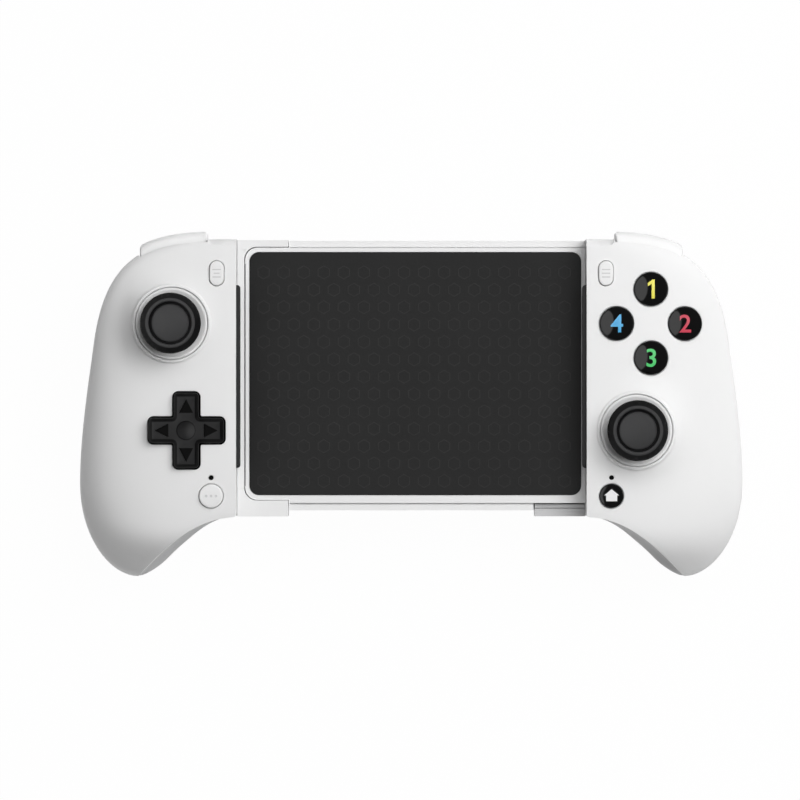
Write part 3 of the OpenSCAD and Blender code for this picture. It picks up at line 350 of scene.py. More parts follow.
def turn_outwards(obj):
    """Takes away loose points and turns all faces outwards."""
    bm = bmesh.new()
    bm.from_mesh(obj.data)
    loose = [q for q in bm.verts if not q.link_faces]
    bmesh.ops.delete(bm, geom=loose, context="VERTS")
    bmesh.ops.recalc_face_normals(bm, faces=bm.faces)
    bm.to_mesh(obj.data)
    bm.free()


CUT_SHARP = 40


def cut(obj, cutters):
    """Takes the cutters out of obj for good, one by one, in millimetres to suit the solver."""
    for o in [obj] + cutters:
        o.data.transform(Matrix.Scale(1 / MM, 4))
    for c in cutters:
        mod = obj.modifiers.new("cut", "BOOLEAN")
        mod.operation = "DIFFERENCE"
        mod.solver = "EXACT"
        mod.object = c
        deps = bpy.context.evaluated_depsgraph_get()
        mesh = bpy.data.meshes.new_from_object(obj.evaluated_get(deps))
        obj.modifiers.clear()
        # A cut that fails leaves next to nothing, and the piece then stays whole
        if len(mesh.vertices) > len(obj.data.vertices) / 2:
            obj.data = mesh
        bpy.data.objects.remove(c, do_unlink=True)
    obj.data.transform(Matrix.Scale(MM, 4))
    obj.data.set_sharp_from_angle(angle=math.radians(CUT_SHARP))


# Materials
BUMP_DEPTH = 0.00005


def new_material(name, color, roughness, grain=0.0, grain_scale=900.0, mottle=0.04, coat=0.0, specular=0.5,
                 blur=0.06):
    """Moulded plastic or rubber with fine grain, slight mottling and uneven gloss."""
    mat = bpy.data.materials.new(name)
    mat.use_nodes = True
    nt = mat.node_tree
    bsdf = nt.nodes["Principled BSDF"]
    bsdf.inputs["Specular IOR Level"].default_value = specular
    bsdf.inputs["Coat Weight"].default_value = coat
    bsdf.inputs["Coat Roughness"].default_value = blur
    where = nt.nodes.new("ShaderNodeTexCoord")
    cloud = nt.nodes.new("ShaderNodeTexNoise")
    cloud.inputs["Scale"].default_value = 45.0
    cloud.inputs["Detail"].default_value = 4.0
    nt.links.new(where.outputs["Object"], cloud.inputs["Vector"])
    tone = nt.nodes.new("ShaderNodeMapRange")
    tone.inputs["To Min"].default_value = 1 - mottle
    tone.inputs["To Max"].default_value = 1 + mottle
    nt.links.new(cloud.outputs["Fac"], tone.inputs["Value"])
    shade = nt.nodes.new("ShaderNodeVectorMath")
    shade.operation = "SCALE"
    shade.inputs[0].default_value = color
    nt.links.new(tone.outputs["Result"], shade.inputs["Scale"])
    nt.links.new(shade.outputs["Vector"], bsdf.inputs["Base Color"])
    fine = nt.nodes.new("ShaderNodeTexNoise")
    fine.inputs["Scale"].default_value = grain_scale
    fine.inputs["Detail"].default_value = 3.0
    nt.links.new(where.outputs["Object"], fine.inputs["Vector"])
    gloss = nt.nodes.new("ShaderNodeMapRange")
    gloss.inputs["To Min"].default_value = roughness * 0.9
    gloss.inputs["To Max"].default_value = min(1.0, roughness * 1.1)
    nt.links.new(fine.outputs["Fac"], gloss.inputs["Value"])
    nt.links.new(gloss.outputs["Result"], bsdf.inputs["Roughness"])
    if grain:
        bump = nt.nodes.new("ShaderNodeBump")
        bump.inputs["Strength"].default_value = grain
        bump.inputs["Distance"].default_value = BUMP_DEPTH
        nt.links.new(fine.outputs["Fac"], bump.inputs["Height"])
        nt.links.new(bump.outputs["Normal"], bsdf.inputs["Normal"])
    return mat


WHITE = new_material("white_satin", (0.80, 0.80, 0.80), 0.42, grain=0.12, grain_scale=2600, mottle=0.012)
# Pale plastic, partly its own tone and partly painted shade: greyed further so the rear shells read as shaded
# where they show beyond the grips' heels
PALE_WITH_PAINTED_SHADE = new_material("pale_satin_painted_shade", (0.55, 0.55, 0.555), 0.45, grain=0.15, grain_scale=2600, mottle=0.015)
BLACK = new_material("black_satin", (0.009, 0.009, 0.0094), 0.42, grain=0.2,
                     grain_scale=2200, mottle=0.1, specular=0.25)
GLOSS = new_material("gloss_black", (0.002, 0.002, 0.0021), 0.3, coat=0.7, mottle=0.1, specular=0.0, blur=0.1)
RUBBER = new_material("rubber", (0.033, 0.033, 0.034), 0.6, grain=0.35,
                      grain_scale=1800, mottle=0.12, specular=0.35)
# Near-black used as painted shade: on the direction pad's sides and bevels, and on the walls of the pad's
# hole in the left face
BLACK_PAINTED_SHADE = new_material("black_painted_shade", (0.002, 0.002, 0.0021), 0.4, grain=0.1,
                          grain_scale=2200, specular=0.12)
# Near-black rubber used as painted shade on the stick caps' outer slope and in the groove round their dish
RUBBER_PAINTED_SHADE = new_material("rubber_painted_shade", (0.004, 0.004, 0.0043), 0.55, grain=0.3,
                           grain_scale=1800, specular=0.15)
MAT = new_material("mat_rubber", (0.0155, 0.0155, 0.0155), 0.75, grain=0.5,
                   grain_scale=1500, mottle=0.1, specular=0.25)
MAT_RAISED = new_material("mat_raised", (0.021, 0.021, 0.021), 0.6, grain=0.2, grain_scale=1500, specular=0.3)
PAD_RUBBER = new_material("pad_rubber", (0.023, 0.023, 0.0235), 0.65, grain=0.35,
                          grain_scale=1800, mottle=0.1, specular=0.3)
SILICONE = new_material("silicone", (0.3, 0.3, 0.31), 0.5)
NYLON = new_material("nylon", (0.6, 0.59, 0.56), 0.45)
BOARD = new_material("board", (0.02, 0.12, 0.05), 0.4)
AMBER = new_material("amber_film", (0.5, 0.2, 0.03), 0.3)
STEEL = new_material("steel", (0.55, 0.56, 0.58), 0.35)
STEEL.node_tree.nodes["Principled BSDF"].inputs["Metallic"].default_value = 1.0
PRINT = new_material("grey_print", (0.6, 0.6, 0.6), 0.5)
DARK_PRINT = new_material("dark_print", (0.0015, 0.0015, 0.0015), 0.6, specular=0.08)
INKS = {
    "top": new_material("ink_yellow", (0.85, 0.78, 0.10), 0.35, coat=0.6),
    "left": new_material("ink_blue", (0.08, 0.42, 0.75), 0.35, coat=0.6),
    "right": new_material("ink_red", (0.62, 0.05, 0.09), 0.35, coat=0.6),
    "bottom": new_material("ink_green", (0.08, 0.62, 0.17), 0.35, coat=0.6),
}
SLOT_LOOKS = {
    "white_plastic": WHITE, "pale_plastic": PALE_WITH_PAINTED_SHADE, "black_plastic": BLACK, "gloss_black": GLOSS,
    "rubber": RUBBER, "silicone": SILICONE, "nylon": NYLON, "board": BOARD, "polyimide": AMBER,
    "steel": STEEL,
}
SLOTS = {s["node"]: s["material_slot"] for s in frame["record"]["subparts"]}
NODE_LOOKS = {"right_led_lens": DARK_PRINT, "left_led_lens": DARK_PRINT,
              "right_phone_pad": PAD_RUBBER, "left_phone_pad": PAD_RUBBER}
for node_name, node_obj in frame["nodes"].items():
    node_obj.data.materials.clear()
    node_obj.data.materials.append(NODE_LOOKS.get(node_name, SLOT_LOOKS[SLOTS[node_name]]))


def finish_piece(obj, body, slot, *nodes):
    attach(obj, body)
    if nodes:
        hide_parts(*nodes)


# Front shells: the face as a fine sheet with a collar, filleted holes and walls
EDGE_R, TOP_R, HOLE_R, CORNER_R = 0.15, 2.2, 0.15, 1.0
HOLE_DEPTH, SKIN = 3.0, 1.2
TOP_EDGE = np.stack([np.linspace(WALL_X, SHOULDER[0][0], 15), np.full(15, WALL_TOP)], -1)
BUMPER_IN, BUMPER_OUT, RECESS, RECESS_OVER = 62.8, 83.7, 1.0, 0.5


def recessed(t):
    """Shoulder of the outline, set in behind the bumper."""
    p, n = bez(SHOULDER, t), bez_normal(SHOULDER, t)
    x = p[:, 0]
    after = ease((x - BUMPER_IN + RECESS_OVER) / RECESS_OVER)
    before = ease((BUMPER_OUT + RECESS_OVER - x) / RECESS_OVER)
    return p - RECESS * (after * before)[:, None] * n


OUT_EDGE = np.concatenate([recessed(np.linspace(0, 1, 170)), bez(FLANK, np.linspace(0, 1, 70))[1:],
                           bez(TAIL, np.linspace(0, TAIL_END, 90))[1:]])
HEEL_EDGE = bez(HEEL, np.linspace(1, 0, 70))
HEEL_EDGE = HEEL_EDGE[HEEL_EDGE[:, 0] > WALL_X + CORNER_R + 0.05]
TURN = np.radians(np.linspace(270, 180, 8))
CORNER_MID = (WALL_X + CORNER_R, WALL_BOTTOM + CORNER_R)
CORNER_EDGE = np.stack([np.cos(TURN), np.sin(TURN)], -1) * CORNER_R + CORNER_MID
WALL_EDGE = np.stack([np.full(110, WALL_X), np.linspace(WALL_BOTTOM + CORNER_R, WALL_TOP, 110)], -1)
TIP_EDGE = OUT_EDGE[-1] + (HEEL_EDGE[0] - OUT_EDGE[-1]) * np.linspace(0, 1, 7)[:, None]
OUTLINE = np.concatenate([TOP_EDGE[:-1], OUT_EDGE[:-1], TIP_EDGE[:-1], HEEL_EDGE, CORNER_EDGE[:-1],
                          WALL_EDGE[:-1]])
WALLED = np.concatenate([TIP_EDGE[:-1], HEEL_EDGE, CORNER_EDGE[:-1], WALL_EDGE[:-1], TOP_EDGE])


def fillet_drop(d, r):
    d = np.clip(d, 0, r)
    return r - np.sqrt(np.maximum(0, r * r - (r - d) ** 2))


def offsets(r):
    return [r * (1 - math.cos(a)) for a in np.radians([18, 36, 54, 72, 90])]


def inner_offsets(line, r):
    """Points inside a walled edge, closer together towards it."""
    d = np.gradient(line, axis=0)
    d = d / np.linalg.norm(d, axis=1, keepdims=True)
    return np.concatenate([line + off * np.stack([-d[:, 1], d[:, 0]], -1) for off in offsets(r) + [r + 0.5]])


# Spacing of the sheet's points: in rows across the grip, and in rings round a stick's collar
ROW_STEP, ROW_POINTS, ROWS_FROM = 0.85, 64, 17.6
RING_FINE, FINE_TO, RING_COARSE, RINGS_TO = 0.13, 13.4, 0.35, 17.3


def front_shell(side, stick, holes):
    """holes: functions that give the loop of a hole's edge grown by a distance."""
    edges = [circle(stick, STICK_HOLE_R, 128)] + [h(0) for h in holes]
    free = []
    rows = np.arange(TIP[1] + 0.6, WALL_TOP - 0.3, ROW_STEP)
    across = np.sin(np.radians(np.linspace(0, 90, ROW_POINTS)))[1:-1]
    for y in rows:
        a, b = float(inner_x(y)), float(outer_x(y))
        free += [(a + (b - a) * v, y) for v in across]
    free = np.array(free)
    keep = inside(OUTLINE, free)
    keep &= distance(WALLED, free, closed=False) > EDGE_R + 0.9
    keep &= distance(OUT_EDGE, free, closed=False) > 0.02
    keep &= np.hypot(free[:, 0] - stick[0], free[:, 1] - stick[1]) > ROWS_FROM
    for e in edges[1:]:
        keep &= (distance(e, free) > HOLE_R + 0.5) & ~inside(e, free)
    free = [free[keep]]
    walled = [inner_offsets(e, EDGE_R) for e in (HEEL_EDGE, CORNER_EDGE, WALL_EDGE)]
    rings = np.concatenate([np.array(offsets(HOLE_R)) + STICK_HOLE_R,
                            np.arange(STICK_HOLE_R + 0.5, FINE_TO, RING_FINE),
                            np.arange(FINE_TO + 0.1, RINGS_TO, RING_COARSE)])
    extra = walled + [circle(stick, r, 128 if r < 14 else 112) for r in rings]
    for h in holes:
        extra += [h(off) for off in offsets(HOLE_R) + [HOLE_R + 0.35]]
    for k, e in enumerate(extra):
        ok = inside(OUTLINE, e) & (distance(OUTLINE, e) > 0.03)
        if k >= len(walled):
            ok &= distance(WALLED, e, closed=False) > EDGE_R + 0.6
        else:
            ok &= np.hypot(e[:, 0] - stick[0], e[:, 1] - stick[1]) > 16
        free.append(e[ok])
    plan, faces, loops = sheet(OUTLINE, edges, np.concatenate(free))
    x, y = plan[:, 0], plan[:, 1]
    base = face_height(x, y)
    z = with_collar(base, x, y, stick)
    rim = smooth_line(PART_LINE, y) + PART_GAP / 2
    r_edge = np.clip(0.5 * (base - rim), 1e-3, EDGE_R)
    z = z - fillet_drop(distance(WALLED[:-len(TOP_EDGE) + 1], plan, closed=False), r_edge)
    r_edge = np.clip(0.8 * (base - rim), 1e-3, TOP_R)
    z = z - fillet_drop(WALL_TOP - y, r_edge) * (x < SHOULDER[0][0] + 0.01)
    for e in edges:
        z = z - fillet_drop(distance(e, plan), HOLE_R)
    verts = [tuple(v) for v in np.column_stack([plan, z])]
    out = loops[0]
    levels = []
    for t in (0.25, 0.6, 1.0):
        levels.append([z[i] + (min(rim[i], z[i] - 0.02) - z[i]) * t for i in out])
    strip(verts, faces, out, levels, inner=False)
    for loop in loops[1:]:
        strip(verts, faces, loop, [[z[i] - d for i in loop] for d in (0.3, 1.2, HOLE_DEPTH)], inner=True)
    obj = add_object(side + "_front_skin", verts, faces, WHITE, flip=side == "left", sharp=50)
    if side == "left":
        # The walls of the direction pad's hole are painted near-black as painted shade in the gap round the
        # pad
        obj.data.materials.append(BLACK_PAINTED_SHADE)
        for poly in obj.data.polygons:
            away = max(abs(poly.center.x / MM + LOW[0]), abs(poly.center.y / MM - LOW[1]))
            if away < PAD_SPAN / 2 + 1 and abs(poly.normal.z) < 0.5:
                poly.material_index = 1
    thick = obj.modifiers.new("wall", "SOLIDIFY")
    thick.thickness = SKIN * MM
    thick.offset = -1
    finish_piece(obj, side + "_half", "white_plastic", side + "_front_shell")


def grown_circle(p, r, n):
    return lambda d: circle(p, r + d, n)


def grown_pill(p, w, length):
    return lambda d: pill(p, w + 2 * d, length + 2 * d)


def grown_cross(p):
    def grow(d):
        loop = cross(p, PAD_SPAN / 2 + PAD_GAP + d, PAD_ARM / 2 + PAD_GAP + d, PAD_CORNER + PAD_GAP + d,
                     max(0.05, PAD_NOTCH - d))
        return refine(loop, 0.7)
    return grow


SMALL_HOLES = [
    grown_pill(PILL, PILL_W + 2 * BUTTON_GAP, PILL_L + 2 * BUTTON_GAP),
    grown_circle(ROUND, ROUND_R + BUTTON_GAP, 64),
    grown_circle(LED, LED_R + 0.05, 24),
]
FACE_TURNS = {"right": 0, "top": 90, "left": 180, "bottom": 270}


def face_place(name):
    a = math.radians(FACE_TURNS[name])
    return (HIGH[0] + FACE_PITCH * math.cos(a), HIGH[1] + FACE_PITCH * math.sin(a))


FACE_HOLES = [grown_circle(face_place(k), FACE_R + BUTTON_GAP, 72) for k in FACE_TURNS]
front_shell("right", LOW, SMALL_HOLES + FACE_HOLES)
front_shell("left", HIGH, SMALL_HOLES + [grown_cross(LOW)])


# Rear shells
def back_section(y, outer):
    """Row of points round a grip's back, from its outer edge to its inner one."""
    a_in = float(inner_x(y))
    mid, half = (a_in + outer) / 2, (outer - a_in) / 2
    rim = float(smooth_line(PART_LINE, y)) - PART_GAP / 2
    depth = rim - float(smooth_line(BACK_LINE, y))
    below = WALL_BOTTOM - y
    bulge = BULGE_START * ease(below / START_OVER)
    bulge = float(bulge + (HEEL_BULGE - BULGE_START) * ease(below / BULGE_OVER))
    bulge *= math.sin(math.pi / 2 * min(1, half / BULGE_HALF))
    down = float(ease((HEEL_ROUND_FROM - y) / (HEEL_ROUND_FROM - TIP[1])))
    n_in = WALL_ROUND + (HEEL_ROUND - WALL_ROUND) * down
    row = []
    for a in np.linspace(0, 180, 73):
        c, s = math.cos(math.radians(a)), math.sin(math.radians(a))
        n = BACK_ROUND if a <= 90 else n_in
        reach = half if a <= 90 else -half - bulge * math.sin(math.radians(2 * (a - 90)))
        row.append((mid + reach * abs(c) ** (2 / n), y, rim - depth * max(0, s) ** (2 / n)))
    return row


def closed_cup(rows, wall):
    """Outer skin from rows, an inner skin set in by wall, and the rim between them."""
    def shrink(row):
        pts = np.array(row)
        mid = (pts[0] + pts[-1]) / 2
        width, depth = abs(pts[0][0] - pts[-1][0]) / 2, mid[2] - pts[:, 2].min()
        scale = np.array([max(0.3, 1 - wall / width), 1, max(0.3, 1 - wall / depth)])
        return mid + (pts - mid) * scale
    n, m = len(rows), len(rows[0])
    verts = [tuple(p) for row in rows for p in row]
    inner_rows = [shrink(row) for row in rows]
    for i, row in enumerate(inner_rows):
        shift = -wall if i == 0 else (wall if i == n - 1 else 0)
        verts += [(p[0], p[1] + shift, p[2]) for p in row]
    out = lambda i, j: i * m + j
    ins = lambda i, j: (n + i) * m + j
    faces = []
    for i in range(n - 1):
        for j in range(m - 1):
            faces.append((out(i, j), out(i, j + 1), out(i + 1, j + 1), out(i + 1, j)))
            faces.append((ins(i, j), ins(i + 1, j), ins(i + 1, j + 1), ins(i, j + 1)))
        faces.append((out(i, 0), out(i + 1, 0), ins(i + 1, 0), ins(i, 0)))
        faces.append((out(i, m - 1), ins(i, m - 1), ins(i + 1, m - 1), out(i + 1, m - 1)))
    faces.append(tuple(out(0, j) for j in reversed(range(m))))
    faces.append(tuple(out(n - 1, j) for j in range(m)))
    faces.append(tuple(ins(0, j) for j in range(m)))
    faces.append(tuple(ins(n - 1, j) for j in reversed(range(m))))
    faces.append((out(0, 0), ins(0, 0), ins(0, m - 1), out(0, m - 1)))
    faces.append((out(n - 1, 0), out(n - 1, m - 1), ins(n - 1, m - 1), ins(n - 1, 0)))
    return verts, faces


# Openings: the back button's, two screws' (place and top of the cut) and the bumper and trigger's notch
REAR_WALL, TOOL_LOW = 2.0, -5
BACK, BACK_W, BACK_L, BACK_TOP = (76.0, -6.0), 7.4, 15.4, 26
SCREWS, SCREW_R = [((58.7, 8.2), 16), ((90.0, -39.95), 32)], 2.15
NOTCH, NOTCH_TOP = (62.5, 35.8, 84.4, 60.0), 60


def rectangle(x0, y0, x1, y1):
    return [(x0, y0), (x1, y0), (x1, y1), (x0, y1)]


def prism(loop, z0, z1):
    low = [(x, y, z0) for x, y in loop]
    high = [(x, y, z1) for x, y in loop]
    return loft([low, high], True, True)


def rear_shell(side):
    flip = side == "left"
    t_rows = [bez(SHOULDER, np.linspace(0, 1, 50)), bez(FLANK, np.linspace(0, 1, 26))[1:],
              bez(TAIL, np.linspace(0, TAIL_END, 120))[1:]]
    rows = [back_section(p[1], p[0]) for p in np.concatenate(t_rows)]
    verts, faces = closed_cup(rows, REAR_WALL)
    # The rear skin takes the pale grey that carries painted shade
    obj = add_object(side + "_rear_skin", verts, faces, PALE_WITH_PAINTED_SHADE, flip=flip)
    tools = [prism(rectangle(*NOTCH), TOOL_LOW, NOTCH_TOP),
             prism(pill(BACK, BACK_W, BACK_L), TOOL_LOW, BACK_TOP)]
    tools += [prism(circle(p, SCREW_R, 40), TOOL_LOW, top) for p, top in SCREWS]
    cut(obj, [add_object("%s_tool_%d" % (side, k), v, f, PALE_WITH_PAINTED_SHADE, flip=flip) for k, (v, f) in enumerate(tools)])
    finish_piece(obj, side + "_half", "pale_plastic", side + "_rear_shell")


for side in SIDES:
    rear_shell(side)


# Sticks
TRIM_IN, DOME_OUT, DOME_IN, KNURL, RIDGES = 8.4, 11.9, 10.9, 0.06, 72


def arc(r, z, angles):
    """Points of a profile at a radius from a pivot on the axis."""
    return [(r * math.sin(math.radians(a)), z + r * math.cos(math.radians(a))) for a in angles]


def stick(side):
    place = LOW if side == "right" else HIGH
    flip = side == "left"
    rim = rim_at(place)
    pivot = rim - RIM_OVER_PIVOT
    edge = STICK_HOLE_R - 0.22
    ring = rounded([(edge, rim - 1.9), (edge, rim - 0.05), (STICK_HOLE_R - 0.9, rim - 0.05),
                    (TRIM_IN, rim - 1.15), (TRIM_IN, rim - 1.9), (edge, rim - 1.9)], 0.18, 4)
    v, f = lathe(place, ring[:-1], closed=True)
    obj = add_object(side + "_ring_trim", v, f, WHITE, flip=flip, sharp=60)
    finish_piece(obj, side + "_half", "white_plastic", side + "_stick_ring")
    top = pivot + CAP_UNDER
    dome = arc(DOME_OUT, pivot, np.linspace(60, 18, 14))
    inner_dome = arc(DOME_IN, pivot, np.linspace(10, 60, 14))
    outside = rounded([dome[-1], (3.6, top - 1.4), (4.5, top - 0.3), (CAP_R - 0.9, top), (CAP_R, top + 0.9),
                       (CAP_R, top + 1.9), (CAP_R - 0.4, top + 2.6), (CAP_R - 1.6, top + 3.7),
                       (CAP_R - 1.95, top + 4), (CAP_R - 2.45, top + 4), (CAP_R - 2.75, top + 3.8),
                       (CAP_R - 2.95, top + 2.5), (CAP_R - 3.45, top + 2.4), (CAP_R - 3.6, top + 2.8)],
                      0.3, 5)
    dome_r, dome_rise = CAP_R - 3.65, 1.0
    dish = [(r, top + 2.85 + dome_rise * (1 - (r / dome_r) ** 2)) for r in np.linspace(dome_r, 0, 14)]
    profile = [(1.7, inner_dome[0][1])] + inner_dome + dome + outside[1:] + dish
    v, f = lathe(place, profile, n=144)
    v = np.array(v)
    r = np.hypot(v[:, 0] - place[0], v[:, 1] - place[1])
    a = np.arctan2(v[:, 1] - place[1], v[:, 0] - place[0])
    on_bevel = (r > CAP_R - 1.2) & (v[:, 2] > top + 2.0) & (v[:, 2] < top + 3.6)
    knurl = KNURL * np.sign(np.sin(a * RIDGES)) * on_bevel
    v[:, 0] += knurl * np.cos(a)
    v[:, 1] += knurl * np.sin(a)
    obj = add_object(side + "_cap_rubber", v, f, RUBBER, flip=flip, sharp=50)
    # The cap's outer slope and the groove round its dish take the near-black rubber as painted shade
    obj.data.materials.append(RUBBER_PAINTED_SHADE)
    for poly in obj.data.polygons:
        far = math.hypot(abs(poly.center.x) / MM - place[0], poly.center.y / MM - place[1])
        poly.material_index = int(far > CAP_R - 1.7 or CAP_R - 3.55 < far < CAP_R - 2.8)
    finish_piece(obj, side + "_stick", "rubber", side + "_stick_cap")


for side in SIDES:
    stick(side)


# Direction pad
ARROW = np.array([(5.4, -2.2), (9.7, 0), (5.4, 2.2)])
ARROW_DEEP, DISH_R, DISH_DEEP, PAD_SHARP = 0.4, 2.95, 0.8, 32


def direction_pad():
    top = face_at(LOW) + PAD_RISE
    low = face_at(LOW) - PAD_DEEP
    half, arm = PAD_SPAN / 2, PAD_ARM / 2
    shape = lambda d: cross(LOW, half - d, arm - d, max(0.15, PAD_CORNER - d), PAD_NOTCH + d)
    steps = [(0, low), (0, top - 1.5), (0.04, top - 1.2), (0.15, top - 0.95), (0.8, top - 0.35),
             (0.95, top - 0.2), (1.12, top - 0.04), (1.3, top)]
    rings = [[(x, y, z) for x, y in shape(d)] for d, z in steps]
    verts, faces = loft(rings)
    outline = shape(steps[-1][0])
    arrows = []
    for turn in FACE_TURNS.values():
        c, s = math.cos(math.radians(turn)), math.sin(math.radians(turn))
        x, y = ARROW.T
        arrows.append(refine(np.stack([c * x - s * y, s * x + c * y], -1) + LOW, 0.8))
    free = [circle(LOW, r, 48) for r in (0.5, 1.0, 1.5, 2.0, 2.4, 2.7, 2.85, 2.95, 3.05, 3.3)]
    plan, tris, loops = sheet(outline, arrows, np.concatenate(free))
    r = np.hypot(plan[:, 0] - LOW[0], plan[:, 1] - LOW[1])
    z = np.full(len(plan), top)
    z -= np.where(r < DISH_R, DISH_DEEP * (1 - (r / DISH_R) ** 2), 0)
    start = len(verts)
    verts += [tuple(q) for q in np.column_stack([plan, z])]
    faces += [tuple(i + start for i in t) for t in tris]
    base = (len(rings) - 1) * len(outline)
    ring_of = {loops[0][k] + start: base + k for k in range(len(outline))}
    faces = [tuple(ring_of.get(i, i) for i in t) for t in faces]
    floors = []
    for loop in loops[1:]:
        ring = [i + start for i in loop]
        strip(verts, faces, ring, [[top - ARROW_DEEP] * len(ring)], inner=True)
        n = len(ring)
        floors.append(tuple(range(len(verts) - n, len(verts))))
    faces += floors
    faces.append(tuple(reversed(range(len(rings[0])))))
    obj = add_object("pad_cross", verts, faces, BLACK, flip=True, sharp=PAD_SHARP)
    obj.data.materials.append(DARK_PRINT)
    for poly in obj.data.polygons:
        if len(poly.vertices) > 8 and poly.center.z > (top - 1) * MM:
            poly.material_index = 1
    turn_outwards(obj)
    obj.data.set_sharp_from_angle(angle=math.radians(PAD_SHARP))
    # Sides and bevels of the pad, tilted away from the top, take a darker black as painted shade
    obj.data.materials.append(BLACK_PAINTED_SHADE)
    for poly in obj.data.polygons:
        if poly.normal.z < 0.9:
            poly.material_index = 2
    finish_piece(obj, "dpad", "black_plastic", "dpad")


direction_pad()


# Face buttons with numerals set into their domes
CROWN_R, FACE_RISE, FACE_DEEP = 11, 2.3, 7.5
TEXT_SIZE, TEXT_GROW, TEXT_EDGE, MARK_RISE = 7.7, 0.1, 0.45, 0.04


def dome_height(r, top):
    return top - CROWN_R + math.sqrt(CROWN_R * CROWN_R - r * r)


ONE = [(-0.1, -2.9), (0.85, -2.9), (0.85, 2.9), (0.15, 2.9), (-1.3, 1.85), (-1.3, 0.8), (-0.1, 1.6)]


def numeral(name, body_text, place, top, material):
    bm = bmesh.new()
    if body_text == "1":
        bm.faces.new([bm.verts.new((x, y, 0)) for x, y in ONE])
    else:
        curve = bpy.data.curves.new(name, "FONT")
        curve.body = body_text
        curve.size = TEXT_SIZE
        curve.offset = TEXT_GROW
        text = bpy.data.objects.new(name + "_text", curve)
        bpy.context.scene.collection.objects.link(text)
        deps = bpy.context.evaluated_depsgraph_get()
        bm.from_mesh(bpy.data.meshes.new_from_object(text.evaluated_get(deps)))
        bpy.data.objects.remove(text, do_unlink=True)
    bmesh.ops.remove_doubles(bm, verts=bm.verts, dist=1e-4)
    bmesh.ops.triangulate(bm, faces=bm.faces)
    for _ in range(4):
        long_edges = [e for e in bm.edges if e.calc_length() > TEXT_EDGE]
        if long_edges:
            bmesh.ops.subdivide_edges(bm, edges=long_edges, cuts=1)
            bmesh.ops.triangulate(bm, faces=bm.faces)
    xs = [v.co.x for v in bm.verts]
    ys = [v.co.y for v in bm.verts]
    cx, cy = (min(xs) + max(xs)) / 2, (min(ys) + max(ys)) / 2
    verts, faces = [], []
    bm.verts.index_update()
    for v in bm.verts:
        x, y = v.co.x - cx, v.co.y - cy
        verts.append((place[0] + x, place[1] + y, dome_height(math.hypot(x, y), top) + MARK_RISE))
    for f in bm.faces:
        faces.append(tuple(v.index for v in f.verts))
    bm.free()
    return add_object(name, verts, faces, material)


NUMERALS = {"top": "1", "right": "2", "bottom": "3", "left": "4"}
for name in FACE_TURNS:
    place = face_place(name)
    top = face_at(place) + FACE_RISE
    edge = FACE_R - 0.2
    crown = [(r, dome_height(r, top)) for r in np.linspace(0, edge, 20)]
    side_z = crown[-1][1]
    skirt = rounded([crown[-1], (FACE_R, side_z - 0.3), (FACE_R, top - FACE_DEEP)], 0.15, 4)
    v, f = lathe(place, ([(0, top)] + crown[1:] + skirt[1:])[::-1], n=96)
    obj = add_object("button_%s_dome" % name, v, f, GLOSS, sharp=60)
    finish_piece(obj, "face_button_" + name, "gloss_black", "face_button_" + name)
    mark = numeral("button_%s_mark" % name, NUMERALS[name], place, top, INKS[name])
    finish_piece(mark, "face_button_" + name, "gloss_black")


# Small buttons
def capped(loop_of, z_top, depth, crown, r):
    """Button with a rounded edge and a slightly crowned top, from loops set in by a distance."""
    steps = [(0, z_top - depth), (0, z_top - r)]
    steps += [(r * (1 - math.cos(a)), z_top - r + r * math.sin(a)) for a in np.radians([22.5, 45, 67.5, 90])]
    inner = [(r + 0.35 * k, z_top + crown * (1 - math.exp(-0.7 * k))) for k in range(1, 4)]
    rings = [[(x, y, z) for x, y in loop_of(d)] for d, z in steps + inner]
    return loft(rings, True, True)


BAR_H = 0.34


def mark_bar(name, p, w, z, body, flip):
    """Small printed bar with rounded ends, just above a button's top."""
    loop = pill((0, 0), BAR_H, w, 8)
    loop = np.stack([-loop[:, 1], loop[:, 0]], -1) + np.array(p)
    v, f = prism(loop, z - 0.05, z + 0.02)
    finish_piece(add_object(name, v, f, PRINT, flip=flip, sharp=40), body, "pale_plastic")


SMALL_RISE, SMALL_DEEP, SMALL_EDGE, PILL_CROWN, ROUND_CROWN = 0.75, 4.5, 0.35, 0.12, 0.15
HOUSE = np.array([(-1.7, -1.6), (1.7, -1.6), (1.7, 0.2), (2.3, 0.2), (0, 2.1), (-2.3, 0.2),
                  (-1.7, 0.2)]) + ROUND
for name, side in (("menu", "right"), ("view", "left")):
    z = face_at(PILL) + SMALL_RISE
    v, f = capped(lambda d: pill(PILL, PILL_W - 2 * d, PILL_L - 2 * d), z, SMALL_DEEP, PILL_CROWN, SMALL_EDGE)
    obj = add_object(name + "_key", v, f, WHITE, flip=side == "left", sharp=60)
    finish_piece(obj, name + "_button", "pale_plastic", name + "_button")
    for k in range(3):
        w = 2.6 if name == "menu" else (2.6, 1.9, 2.6)[k]
        mark_bar("%s_line_%d" % (name, k), (PILL[0], PILL[1] + 1.15 * (k - 1)), w, z + PILL_CROWN,
                 name + "_button", side == "left")

